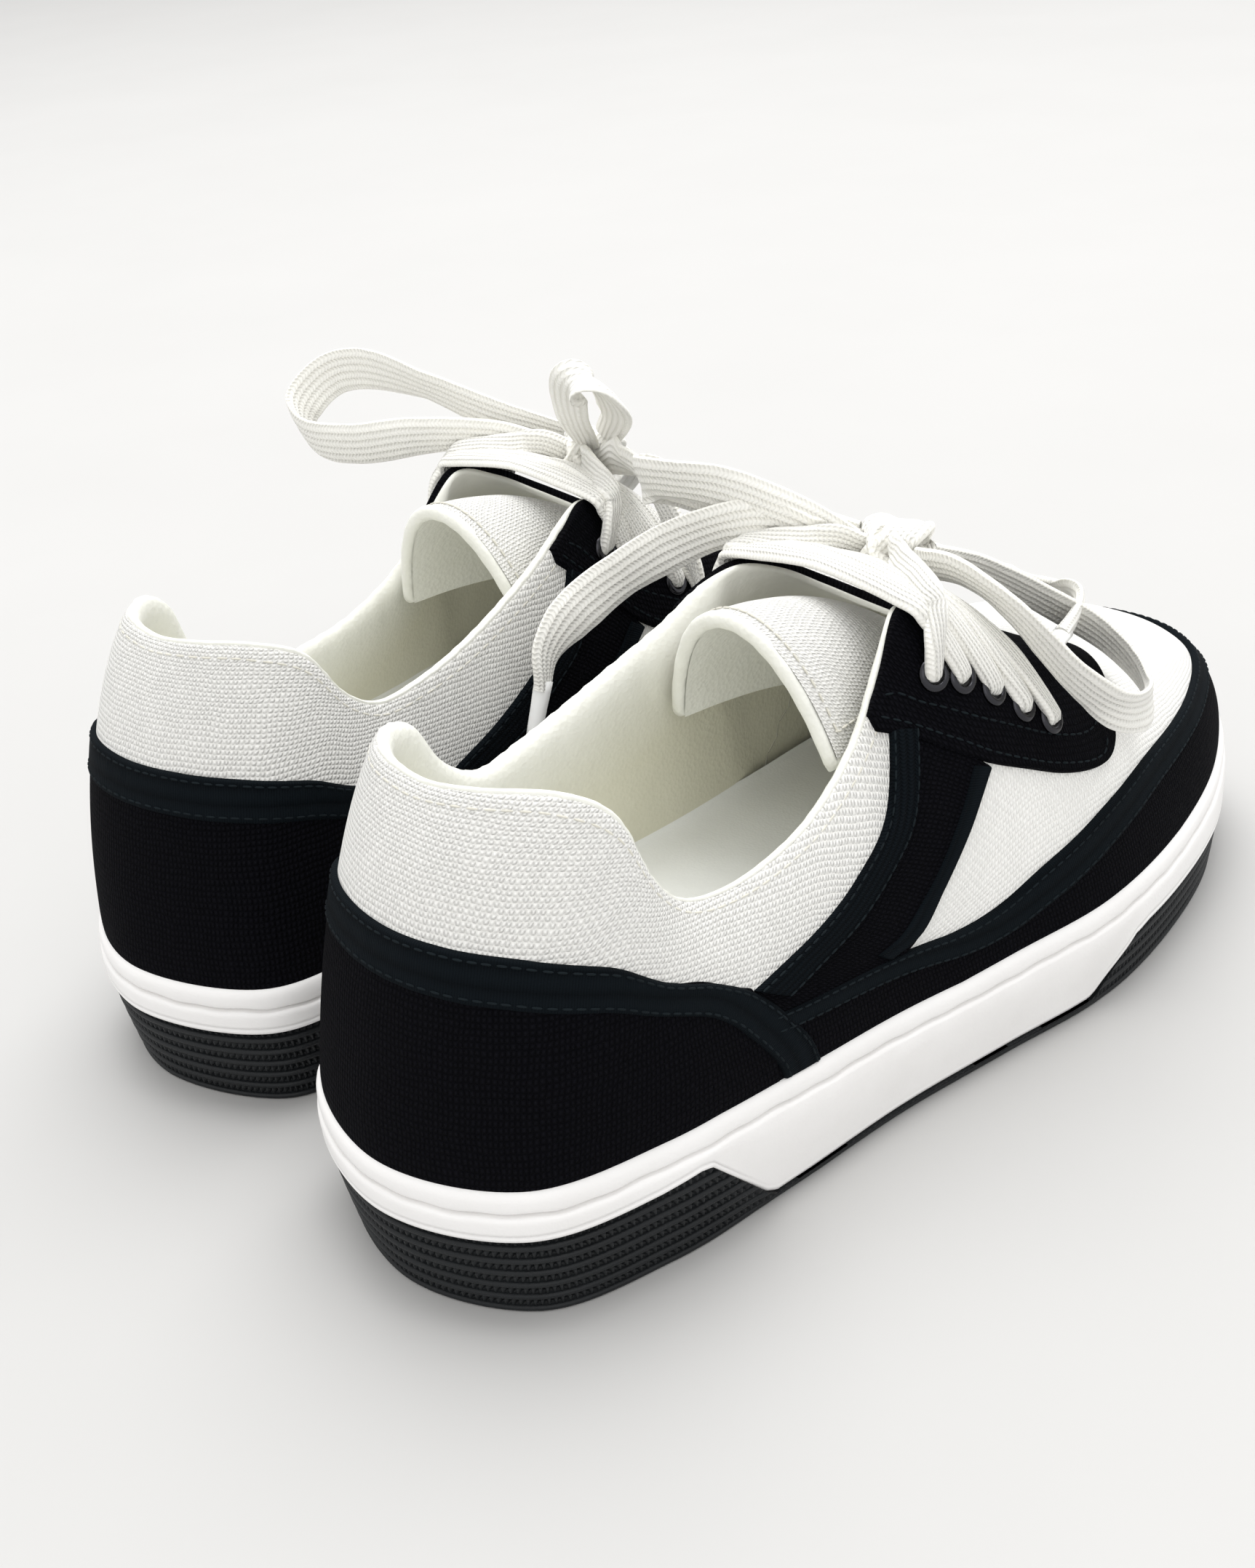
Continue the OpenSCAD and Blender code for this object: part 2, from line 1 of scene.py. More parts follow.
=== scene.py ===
"""Looks for a pair of canvas sneakers with cupsoles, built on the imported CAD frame.

Shoe coordinates are millimetres: heel at the origin, toe along +Y, lateral side at +X.
The upper is one surface, surf(k, v), as in the CAD: k runs round the shoe (0 heel,
5 lateral waist, 10 toe, 15 medial waist) and v climbs from sole (0) to opening (1).
"""
from math import cos, pi, radians, sin

import bpy
import numpy as np
from mathutils import Matrix


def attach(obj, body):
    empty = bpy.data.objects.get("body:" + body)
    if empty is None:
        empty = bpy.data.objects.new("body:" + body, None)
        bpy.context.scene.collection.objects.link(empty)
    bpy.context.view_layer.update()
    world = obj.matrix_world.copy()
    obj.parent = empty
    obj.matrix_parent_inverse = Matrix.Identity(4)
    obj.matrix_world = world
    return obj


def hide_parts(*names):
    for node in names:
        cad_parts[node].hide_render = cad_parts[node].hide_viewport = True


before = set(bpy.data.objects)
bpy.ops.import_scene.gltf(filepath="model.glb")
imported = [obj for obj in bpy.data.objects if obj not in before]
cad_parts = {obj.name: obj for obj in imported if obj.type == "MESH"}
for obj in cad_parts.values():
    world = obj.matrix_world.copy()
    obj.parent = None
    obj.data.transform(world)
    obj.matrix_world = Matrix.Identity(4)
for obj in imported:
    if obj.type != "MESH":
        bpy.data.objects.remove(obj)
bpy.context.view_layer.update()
SEED = 7
rng = np.random.default_rng(SEED)


def linked(name, data):
    obj = bpy.data.objects.new(name, data)
    bpy.context.scene.collection.objects.link(obj)
    return obj


def standing(place, x, y, z):
    """A pose at a place in metres, with the object's own axes along x, y and z."""
    return Matrix.Translation(place) @ Matrix([[x[i], y[i], z[i]] for i in range(3)]).to_4x4()


# -------- pair layout, mm
HEEL_HALF_GAP = 50.25
HEEL_Y = -145.3
STAGGER = 9.6
TOE_OUT = radians(1.4)
SOLE_LENGTH = 281.0

# -------- camera
CAM_AZIMUTH, CAM_ELEVATION, CAM_ROLL = 47.47, 27.95, -5.87
CAM_PLACE = (0.3218, -0.3145, 0.2772)
SENSOR_H = 36.0
LENS = 45.92

a, e, r = (radians(v) for v in (CAM_AZIMUTH, CAM_ELEVATION, CAM_ROLL))
level = np.array([cos(a), sin(a), 0.0])
back = np.array([sin(a) * cos(e), -cos(a) * cos(e), sin(e)])
rise = np.cross(back, level)
right = cos(r) * level + sin(r) * rise
above = -sin(r) * level + cos(r) * rise
cam_data = bpy.data.cameras.new("camera")
cam_data.sensor_fit = "VERTICAL"
cam_data.sensor_height = SENSOR_H
cam_data.lens = LENS
cam_data.clip_start = 0.01
camera = linked("camera", cam_data)
camera.matrix_world = standing(CAM_PLACE, right, above, back)
bpy.context.scene.camera = camera

# -------- the upper's surface
LATERAL_SIDE = [(32, 13), (43, 43), (46, 77), (47.5, 110), (51.5, 142), (55.5, 174),
                (51.5, 208), (41, 242), (23, 269)]
MEDIAL_SIDE = [(-35, 13), (-41.5, 43), (-36.5, 77), (-34, 110), (-36.5, 142), (-41, 174),
               (-44.5, 208), (-43.5, 242), (-32, 269)]
OUTLINE = np.array([(0, 0)] + LATERAL_SIDE + [(-3.5, 281)] + MEDIAL_SIDE[::-1], float)
TOP_LATERAL = [(14, 29.5, 108), (25, 40, 106), (29.5, 48.5, 99), (31, 54, 84),
               (31.5, 61, 75.5), (32, 73, 72.5), (32, 87, 73.5), (30.5, 101, 76.5),
               (28, 116, 84.5), (25, 128, 97), (22, 137, 107)]
TOP_MEDIAL = [(-12, 28.5, 108), (-22, 36, 107), (-27, 45.5, 102), (-28.5, 53, 90),
              (-29, 62, 84), (-30, 74, 85), (-30, 87, 88), (-29, 101, 92.5),
              (-27, 116, 98), (-25, 128, 104), (-22, 137, 107)]
THROAT = [(19, 148, 103), (17, 160, 95), (15, 173, 86), (13, 185, 78), (10.5, 194, 72.5),
          (8.5, 199.5, 69.5), (6, 203, 68), (3, 205, 67)]
OPENING = np.array([(1, 27, 107)] + TOP_LATERAL + THROAT + [(0, 205.5, 66.5)]
                   + [(-x, y, z) for x, y, z in THROAT[::-1]] + TOP_MEDIAL[::-1], float)
FOXING_TOP = ((0, 32.5), (56, 32), (127, 27.5), (211, 28.5), (282, 32.5))
HALF_ROUND = [0.5, 0.45, 0.25, 0.15, 0.12, 0.2, 0.4, 0.65, 0.85, 1, 1]
ROUNDNESS = np.array(HALF_ROUND + HALF_ROUND[1:-1][::-1], float)[:, None]
BULGE = np.array([0, 2, 3.5, 3, 3, 3, 3, 2.5, 2, 1, 0, 1, 2, 2.5, 3, 3, 3, 2.5, 1, -0.5],
                 float)[:, None]
LIP = 3.6  # the upper stands this far inside the sole's outline


def spline(p0, p1, p2, p3, t):
    return 0.5 * (2 * p1 + (p2 - p0) * t + (2 * p0 - 5 * p1 + 4 * p2 - p3) * t ** 2
                  + (3 * p1 - p0 - 3 * p2 + p3) * t ** 3)


def loop_at(p, u):
    """A closed curve through the points, u counting points."""
    n = len(p)
    u = np.asarray(u, float) % n
    i = np.floor(u).astype(int) % n
    t = (u - np.floor(u))[..., None]
    return spline(p[(i - 1) % n], p[i], p[(i + 1) % n], p[(i + 2) % n], t)


def line_at(p, s):
    """An open curve through the points, s from 0 to 1."""
    p = np.asarray(p, float)
    q = np.concatenate([[2 * p[0] - p[1]], p, [2 * p[-1] - p[-2]]])
    u = np.clip(np.asarray(s, float), 0, 1) * (len(p) - 1)
    i = np.minimum(np.floor(u).astype(int), len(p) - 2)
    t = (u - i)[..., None]
    return spline(q[i], q[i + 1], q[i + 2], q[i + 3], t)


def foxing_top(y):
    return np.interp(y, [p[0] for p in FOXING_TOP], [p[1] for p in FOXING_TOP])


def side_normal(k):
    d = loop_at(OUTLINE, k + 0.01) - loop_at(OUTLINE, k - 0.01)
    d = d / np.linalg.norm(d, axis=-1)[..., None]
    return np.stack([d[..., 1], -d[..., 0]], -1)


def surf(k, v):
    k, v = np.broadcast_arrays(np.asarray(k, float), np.asarray(v, float))
    w = np.maximum(v, 0)
    n = side_normal(k)
    f = loop_at(OUTLINE, k) - LIP * n
    fz = foxing_top(f[..., 1])
    q = loop_at(OPENING, 2 * k)
    rd = loop_at(ROUNDNESS, k)[..., 0]
    h = (1 - rd) * w + rd * (1 - np.cos(np.pi * w / 2))
    g = (1 - rd) * w + rd * np.sin(np.pi * w / 2)
    b = 4 * w * (1 - w) * loop_at(BULGE, k)[..., 0]
    return np.stack([f[..., 0] + (q[..., 0] - f[..., 0]) * h + n[..., 0] * b,
                     f[..., 1] + (q[..., 1] - f[..., 1]) * h + n[..., 1] * b,
                     fz + (q[..., 2] - fz) * g + 60 * np.minimum(v, 0)], -1)


def normal_at(k, v):
    w = np.maximum(v, 0.01)
    n = np.cross(surf(k + 0.03, w) - surf(k - 0.03, w), surf(k, w + 0.01) - surf(k, w - 0.01))
    return n / np.linalg.norm(n, axis=-1)[..., None]


def skin(k, v, d):
    k, v = np.broadcast_arrays(np.asarray(k, float), np.asarray(v, float))
    return surf(k, v) + np.asarray(d, float)[..., None] * normal_at(k, v)


def medial(edge):
    """The same edge on the medial side: k turns to 20 - k and the order turns round."""
    return [(20 - k, v) for k, v in edge[::-1]]


def both(edge):
    """A lateral edge that reaches the toe at k = 10, carried on over the medial side."""
    return list(edge) + medial(edge[:-1])


def rear(edge):
    """A lateral edge carried round the heel from the medial side."""
    return [(-k, v) for k, v in edge[::-1]] + [(0, edge[0][1])] + list(edge)


# -------- mesh helpers
def to_world(side, p):
    """Shoe coordinates to metres in the pair's frame; the left shoe is mirrored."""
    p = np.asarray(p, float)
    s = 1 if side == "right" else -1
    ang = -TOE_OUT * s
    x, y, z = p[..., 0] * s, p[..., 1], p[..., 2]
    return np.stack([x * cos(ang) - y * sin(ang) + s * HEEL_HALF_GAP,
                     x * sin(ang) + y * cos(ang) + HEEL_Y + (0 if s > 0 else STAGGER),
                     z], -1) * 0.001


def turned_over(faces):
    return [tuple(reversed(f)) for f in faces]


def make_object(side, tag, verts, faces, uvs, material):
    """A smooth mesh from shoe-frame points; faces index verts, uvs are one pair a vertex."""
    if side == "left":
        faces = turned_over(faces)
    mesh = bpy.data.meshes.new(f"{side}_{tag}")
    mesh.from_pydata(to_world(side, verts).tolist(), [], faces)
    if uvs is not None:
        layer = mesh.uv_layers.new(name="UVMap")
        index = np.empty(len(mesh.loops), int)
        mesh.loops.foreach_get("vertex_index", index)
        layer.data.foreach_set("uv", np.asarray(uvs, float)[index].ravel())
    mesh.validate()
    mesh.polygons.foreach_set("use_smooth", [True] * len(mesh.polygons))
    mesh.materials.append(M[material])
    return linked(mesh.name, mesh)


def fit(side, obj, slot, *nodes, body="shoe"):
    """Let a piece ride on its body, hiding the CAD nodes it replaces; slot is not used."""
    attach(obj, f"{side}_{body}")
    if nodes:
        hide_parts(*[f"{side}_{node}" for node in nodes])
    return obj


def grid_faces(m, n, wrap_m=False, wrap_n=False, start=0):
    """Quads of an m by n grid of points, wrapped round where asked."""
    faces = []
    for i in range(m if wrap_m else m - 1):
        for j in range(n if wrap_n else n - 1):
            a, b, j2 = start + i * n, start + (i + 1) % m * n, (j + 1) % n
            faces.append((a + j, b + j, b + j2, a + j2))
    return faces


def lengths(p):
    """Distance along the first axis of a grid of points."""
    d = np.linalg.norm(np.diff(p, axis=0), axis=-1)
    return np.concatenate([np.zeros((1,) + d.shape[1:]), np.cumsum(d, axis=0)])


def turns(count):
    """Angles that step evenly round a circle."""
    return np.linspace(0, 2 * pi, count, endpoint=False)


def unit(v):
    return v / np.maximum(np.linalg.norm(v, axis=-1), 1e-9)[..., None]


def sheet(side, tag, pts, uvs, material, flip=False, wrap=False):
    """A surface through a grid of points."""
    faces = grid_faces(*pts.shape[:2], wrap_m=wrap)
    if flip:
        faces = turned_over(faces)
    return make_object(side, tag, pts.reshape(-1, 3), faces, uvs.reshape(-1, 2), material)


BORDER = 0.7  # radius of a cloth's rounded border
BORDER_STEPS = np.array([0, 0.06, 0.2, 0.45, 0.75, 1.0]) * BORDER


def samples(length, step):
    """Distances along a width, close together within the rounded borders."""
    count = max(2, int((length - 2 * BORDER) / step) + 1)
    inner = np.linspace(BORDER, length - BORDER, count + 1)[1:-1]
    return np.concatenate([BORDER_STEPS, inner, length - BORDER_STEPS[::-1]])


def rounded(x):
    """Height, 0 to 1, of a round border at a distance x from its edge."""
    return np.sqrt(np.clip(1 - (1 - np.clip(x / BORDER, 0, 1)) ** 2, 0, 1))


def panel(side, tag, low, high, top, rim, material, step=1.7, swell=0.0, ripple=0.0,
          open_foot=False):
    """A piece of cloth on the upper between two (k, v) edges, with rounded borders.

    top and rim are the heights of its face and of its border above the surface. With an
    open foot the low edge, hidden in the sole, has no border."""
    s_fine = np.linspace(0, 1, 161)
    lo, hi = line_at(low, s_fine), line_at(high, s_fine)
    run = lengths(surf((lo[:, 0] + hi[:, 0]) / 2, (lo[:, 1] + hi[:, 1]) / 2))
    ss = np.interp(samples(run[-1], step), run, s_fine)
    lo, hi = line_at(low, ss), line_at(high, ss)
    ladder = lo + (hi - lo) * np.linspace(0, 1, 9)[:, None, None]
    width = np.maximum(lengths(surf(ladder[..., 0], ladder[..., 1]))[-1], 2.05 * BORDER)
    widest = width.max()
    ref = samples(widest, step)
    # only the inner steps stretch with the width
    n = len(BORDER_STEPS)
    width = width[:, None]
    inner = BORDER + (ref[n:-n] - BORDER) / (widest - 2 * BORDER) * (width - 2 * BORDER)
    tt = np.concatenate([ref[:n] + 0 * width, inner, width - (widest - ref[-n:])], 1) / width
    kv = lo[:, None] + (hi - lo)[:, None] * tt[..., None]
    along = np.interp(ss, s_fine, run)[:, None] + 0 * tt
    e_low, e_high = tt * width, (1 - tt) * width
    q = 1.0 if open_foot else rounded(e_low)
    for distance in (e_high, along, run[-1] - along):
        q = q * rounded(distance)
    pillow = np.clip(np.minimum(e_low, e_high) / 4.0, 0, 1)
    height = rim + (top - rim) * q + swell * pillow * (2 - pillow) * q
    height = height + ripple * q * (np.sin(along * 0.9 + 2 * np.sin(along * 0.23))
                                    * np.sin(e_low * 0.5 + 1.3))
    return sheet(side, tag, skin(kv[..., 0], kv[..., 1], height), np.stack([along, e_low], -1),
                 material)


CAPSULE_SIDES = 6


def capsules(side, tag, centres, ways, normals, length, width, height, material):
    """Stitches: short rounded bars, each along its own way and standing on its normal."""
    rings = [(-0.5, 0.35), (-0.34, 0.85), (0.0, 1.0), (0.34, 0.85), (0.5, 0.35)]
    around = [(cos(t), sin(t)) for t in turns(CAPSULE_SIDES)]
    verts, faces, uvs = [], [], []
    for c, w, n in zip(centres, ways, normals):
        base = len(verts)
        b = np.cross(w, n)
        for lx, s in rings:
            for ca, sa in around:
                verts.append(c + w * lx * length + b * ca * s * width / 2
                             + n * sa * s * height / 2)
                uvs.append((lx * length, ca))
        faces += grid_faces(len(rings), CAPSULE_SIDES, wrap_n=True, start=base)
        faces.append(tuple(range(base + CAPSULE_SIDES - 1, base - 1, -1)))
        faces.append(tuple(range(len(verts) - CAPSULE_SIDES, len(verts))))
    return make_object(side, tag, verts, faces, uvs, material)


STITCH_WIDTH, STITCH_HEIGHT, STITCH_JITTER = 0.55, 0.45, 0.12


def seam(side, tag, edge, height, material, pitch=2.6, length=2.0):
    """A row of stitches along a (k, v) line."""
    kv = line_at(edge, np.linspace(0, 1, 600))
    run = lengths(surf(kv[:, 0], kv[:, 1]))
    count = max(2, int(run[-1] / pitch))
    at = (np.arange(count) + 0.5) / count * run[-1]
    at = at + rng.normal(0, STITCH_JITTER, count)

    def spot(at):
        ks, vs = np.interp(at, run, kv[:, 0]), np.interp(at, run, kv[:, 1])
        return ks, vs, skin(ks, vs, np.full(count, height))

    ks, vs, p = spot(at)
    ways = spot(at + 0.5)[2] - p
    keep = np.linalg.norm(ways, axis=-1) > 1e-6
    return capsules(side, tag, p[keep], unit(ways[keep]), normal_at(ks, vs)[keep], length,
                    STITCH_WIDTH, STITCH_HEIGHT, material)


# -------- materials
def new_material(name, colour, roughness, metallic=0.0, sheen=0.0, coat=0.0, specular=0.5):
    mat = bpy.data.materials.new(name)
    mat.use_nodes = True
    bsdf = mat.node_tree.nodes["Principled BSDF"]
    for socket, value in (("Base Color", (*colour, 1)), ("Roughness", roughness),
                          ("Metallic", metallic), ("Specular IOR Level", specular),
                          ("Sheen Weight", sheen), ("Sheen Roughness", 0.5),
                          ("Coat Weight", coat)):
        bsdf.inputs[socket].default_value = value
    return mat, mat.node_tree, bsdf


def node(tree, kind, **values):
    n = tree.nodes.new("ShaderNode" + kind)
    for key, value in values.items():
        if key in n.inputs:
            n.inputs[key].default_value = value
        else:
            setattr(n, key, value)
    return n


def calc(tree, op, *inputs):
    n = node(tree, "Math", operation=op)
    for i, value in enumerate(inputs):
        if isinstance(value, (int, float)):
            n.inputs[i].default_value = value
        else:
            tree.links.new(value, n.inputs[i])
    return n.outputs[0]


def uv_axes(tree, wobble, wobble_scale):
    """The UV coordinates, in millimetres of cloth, gently wandering."""
    uv = node(tree, "UVMap", uv_map="UVMap").outputs[0]
    parts = node(tree, "SeparateXYZ")
    tree.links.new(uv, parts.inputs[0])
    noise = node(tree, "TexNoise", Scale=wobble_scale, Detail=2.0)
    tree.links.new(uv, noise.inputs["Vector"])
    split = node(tree, "SeparateColor")
    tree.links.new(noise.outputs["Color"], split.inputs[0])
    u, v = (calc(tree, "ADD", parts.outputs[i],
                 calc(tree, "MULTIPLY", split.outputs[i], wobble)) for i in (0, 1))
    return uv, u, v


def wave(tree, x, pitch):
    """|sin| of pitch millimetres: one thread to a hump."""
    s = calc(tree, "SINE", calc(tree, "MULTIPLY_ADD", x, pi / pitch, 0.0))
    return calc(tree, "ABSOLUTE", s)


def tint(tree, bsdf, factor, dark, light):
    """Base colour between two colours by a 0 to 1 value."""
    ramp = node(tree, "ValToRGB")
    ramp.color_ramp.elements[0].color = (*dark, 1)
    ramp.color_ramp.elements[1].color = (*light, 1)
    tree.links.new(factor, ramp.inputs[0])
    tree.links.new(ramp.outputs[0], bsdf.inputs["Base Color"])


def bump(tree, bsdf, height, distance):
    b = node(tree, "Bump", Strength=1.0, Distance=distance)
    tree.links.new(height, b.inputs["Height"])
    tree.links.new(b.outputs[0], bsdf.inputs["Normal"])


def object_space(tree):
    return node(tree, "TexCoord").outputs["Object"]


def noise_value(tree, vector, scale, detail=3.0, roughness=0.6):
    n = node(tree, "TexNoise", Scale=scale, Detail=detail, Roughness=roughness)
    tree.links.new(vector, n.inputs["Vector"])
    return n.outputs[0]


WEFT = 1.35  # pitch of the weft over that of the warp


def woven(name, dark, light, pitch, depth, sheen, specular):
    """Plain-weave canvas: warp and weft humps, uneven threads and a little lint, with painted
    shade darkening the hollows between humps.
    """
    mat, tree, bsdf = new_material(name, light, 0.9, sheen=sheen, specular=specular)
    uv, u, v = uv_axes(tree, 1.6, 0.12)
    warp, weft = wave(tree, u, pitch), wave(tree, v, pitch * WEFT)
    humps = calc(tree, "MULTIPLY", warp, weft)
    side_u = calc(tree, "SINE", calc(tree, "MULTIPLY", u, pi / pitch))
    side_v = calc(tree, "SINE", calc(tree, "MULTIPLY", v, pi / (pitch * WEFT)))
    over = calc(tree, "MULTIPLY", side_u, side_v)
    lift = calc(tree, "MULTIPLY_ADD", over, 0.22, humps)
    lint = noise_value(tree, uv, 2.4, 4.0, 0.7)
    uneven = noise_value(tree, uv, 0.5, 3.0)
    height = calc(tree, "ADD", lift, calc(tree, "MULTIPLY", lint, 0.5))
    # painted shade: darker where the humps fall away; the uneven part is the threads' own tone
    tone = calc(tree, "MULTIPLY_ADD", humps, 0.6, calc(tree, "MULTIPLY", uneven, 0.55))
    tint(tree, bsdf, tone, dark, light)
    bump(tree, bsdf, height, depth)
    return mat


def ribbed(name, dark, light, rib, knit, depth, roughness, sheen, skew, specular):
    """Ribbon or lace: ribs along its length, each built of small slanting stitches, with painted
    shade darkening the hollows between them.
    """
    mat, tree, bsdf = new_material(name, light, roughness, sheen=sheen, specular=specular)
    uv, u, v = uv_axes(tree, 0.5, 0.3)
    ribs = wave(tree, v, rib)
    slant = calc(tree, "MULTIPLY_ADD", ribs, skew, u)
    knits = wave(tree, slant, knit)
    lint = noise_value(tree, uv, 3.0, 4.0, 0.7)
    body = calc(tree, "MULTIPLY_ADD", knits, 0.4, ribs)
    height = calc(tree, "ADD", body, calc(tree, "MULTIPLY", lint, 0.35))
    # painted shade: darker in the hollows between ribs and stitches; the lint's tone is the
    # fibres' own
    tone = calc(tree, "MULTIPLY_ADD", body, 0.45, calc(tree, "MULTIPLY", lint, 0.5))
    tint(tree, bsdf, tone, dark, light)
    bump(tree, bsdf, height, depth)
    return mat


def grained(name, dark, light, roughness, grain, depth, wrinkle, sheen=0.0, specular=0.5,
            coat=0.0):
    """Leather, rubber or thread: fine grain, slow colour drift and soft wrinkles."""
    mat, tree, bsdf = new_material(name, light, roughness, coat=coat, sheen=sheen,
                                   specular=specular)
    where = object_space(tree)
    pores = node(tree, "TexVoronoi", Scale=grain)
    tree.links.new(where, pores.inputs["Vector"])
    drift = noise_value(tree, where, 45.0, 4.0, 0.6)
    creases = noise_value(tree, where, 260.0, 3.0, 0.55)
    height = calc(tree, "MULTIPLY_ADD", creases, wrinkle,
                  calc(tree, "MULTIPLY", pores.outputs["Distance"], 0.5))
    tint(tree, bsdf, drift, dark, light)
    rough = calc(tree, "MULTIPLY_ADD", drift, 0.25, roughness - 0.12)
    tree.links.new(rough, bsdf.inputs["Roughness"])
    bump(tree, bsdf, height, depth)
    return mat


def shade_by_depth(mat, near, far, shade_tint):
    """Painted shade: let a material's colour darken towards a shade tint between two values, in
    mm, of its second UV coordinate.
    """
    tree = mat.node_tree
    bsdf = next(n for n in tree.nodes if n.type == "BSDF_PRINCIPLED")
    base = bsdf.inputs["Base Color"].links[0].from_socket
    parts = node(tree, "SeparateXYZ")
    tree.links.new(node(tree, "UVMap", uv_map="UVMap").outputs[0], parts.inputs[0])
    amount = calc(tree, "DIVIDE", calc(tree, "SUBTRACT", parts.outputs[1], near), far - near)
    mix = node(tree, "MixRGB", blend_type="MULTIPLY", use_clamp=True)
    mix.inputs[2].default_value = (*shade_tint, 1)
    tree.links.new(calc(tree, "MINIMUM", calc(tree, "MAXIMUM", amount, 0.0), 1.0),
                   mix.inputs[0])
    tree.links.new(base, mix.inputs[1])
    tree.links.new(mix.outputs[0], bsdf.inputs["Base Color"])


LEATHER = ((0.79, 0.79, 0.71), (0.92, 0.92, 0.87), 0.5, 900.0, 0.00022, 1.2)
M = {}
for make, recipes in (
    # dark and light colour, pitch in mm, bump depth in m, sheen, specular
    (woven, {
        "white_canvas": ((0.78, 0.77, 0.73), (0.97, 0.965, 0.935), 0.95, 0.00045, 0.25, 0.25),
        "vamp_canvas": ((0.8, 0.79, 0.75), (0.96, 0.955, 0.93), 0.85, 0.00022, 0.25, 0.25),
        "black_canvas": ((0.0006, 0.0006, 0.0012), (0.0065, 0.0065, 0.0092), 1.05, 0.0008, 0.0,
                         0.04)}),
    # dark and light colour, rib and knit pitch in mm, bump depth, roughness, sheen, skew, specular
    (ribbed, {
        "ribbon": ((0.0008, 0.0013, 0.002), (0.0045, 0.007, 0.0095), 1.9, 0.8, 0.0005, 0.85, 0.0,
                   0.6, 0.05),
        "grosgrain": ((0.0009, 0.0016, 0.0024), (0.0048, 0.0075, 0.01), 4.2, 0.55, 0.0003, 0.8,
                      0.0, 0.0, 0.05),
        "lace": ((0.9, 0.885, 0.81), (0.98, 0.97, 0.925), 2.0, 1.0, 0.0004, 0.9, 0.3, 0.5,
                 0.25)}),
    # dark and light colour, roughness, grain scale, bump depth, wrinkle, sheen, specular, coat
    (grained, {
        "white_leather": LEATHER,
        # the lining's leather: the white leather again, given painted shade deeper inside the shoe
        "lining_leather": LEATHER,
        # the zigzag seam's thread, darker than the leather as painted shade of its crease
        "lining_thread": ((0.56, 0.55, 0.46), (0.66, 0.64, 0.55), 0.8, 2500.0, 0.0001, 0.5),
        "white_rubber": ((0.84, 0.825, 0.81), (0.93, 0.92, 0.91), 0.42, 1400.0, 0.00006, 0.6),
        "black_rubber": ((0.004, 0.005, 0.006), (0.012, 0.014, 0.016), 0.5, 1600.0, 0.00008, 0.7,
                         0.0, 0.3),
        "footbed": ((0.82, 0.83, 0.8), (0.93, 0.94, 0.92), 0.75, 1500.0, 0.0001, 0.8, 0.1),
        "foam": ((0.7, 0.68, 0.6), (0.85, 0.83, 0.76), 0.9, 700.0, 0.0003, 0.8),
        "board": ((0.55, 0.5, 0.4), (0.7, 0.66, 0.55), 0.8, 500.0, 0.0002, 0.8),
        "white_thread": ((0.58, 0.56, 0.48), (0.8, 0.78, 0.7), 0.8, 2500.0, 0.0001, 0.5, 0.2),
        "black_thread": ((0.003, 0.005, 0.006), (0.012, 0.018, 0.022), 0.8, 2500.0, 0.0001, 0.5,
                         0.0, 0.1),
        "aglet": ((0.86, 0.86, 0.84), (0.95, 0.95, 0.94), 0.2, 900.0, 0.00004, 0.8, 0.0, 0.5, 0.6),
        # a flat near-black, painted shade in the eyelets' holes
        "dark": ((0.01, 0.01, 0.01), (0.02, 0.02, 0.02), 0.8, 900.0, 0.0001, 0.5)}),
):
    for name, recipe in recipes.items():
        M[name] = make(name, *recipe)
# painted shade inside the shoe: the lining turns darker and warmer from 3 to 26 mm below the roll
shade_by_depth(M["lining_leather"], 3.0, 26.0, (0.87, 0.85, 0.75))
M["gunmetal"], metal_tree, metal_bsdf = new_material("gunmetal", (0.045, 0.045, 0.05), 0.22,
                                                     metallic=1.0)
scuff = noise_value(metal_tree, object_space(metal_tree), 600.0)
metal_tree.links.new(calc(metal_tree, "MULTIPLY_ADD", scuff, 0.25, 0.1),
                     metal_bsdf.inputs["Roughness"])

# -------- sole
PANEL_YS = (49, 71, 169, 186)
HEEL_BLACK, TOE_BLACK, PANEL_LOW = 21.0, 14.2, 2.6
UNDER_HEEL, UNDER_TOE = 4.3, 2.3
PANEL_IN = 3.2


def black_top(y):
    """The upper edge of the black rubber."""
    return np.interp(y, [0, 40, 49, 52, 68, 71, 169, 171, 184, 190, 281],
                     [HEEL_BLACK, HEEL_BLACK + 0.4, HEEL_BLACK + 1.2, HEEL_BLACK + 0.6, 4.2,
                      PANEL_LOW, PANEL_LOW, 3.4, 14.2, 15.0, TOE_BLACK])


def waist(y):
    """1 beside the tall white panel, 0 at heel and toe."""
    up = np.clip((y - PANEL_YS[0]) / (PANEL_YS[1] - PANEL_YS[0]), 0, 1)
    down = np.clip((PANEL_YS[3] - y) / (PANEL_YS[3] - PANEL_YS[2]), 0, 1)
    q = np.minimum(up, down)
    return q * q * (3 - 2 * q)


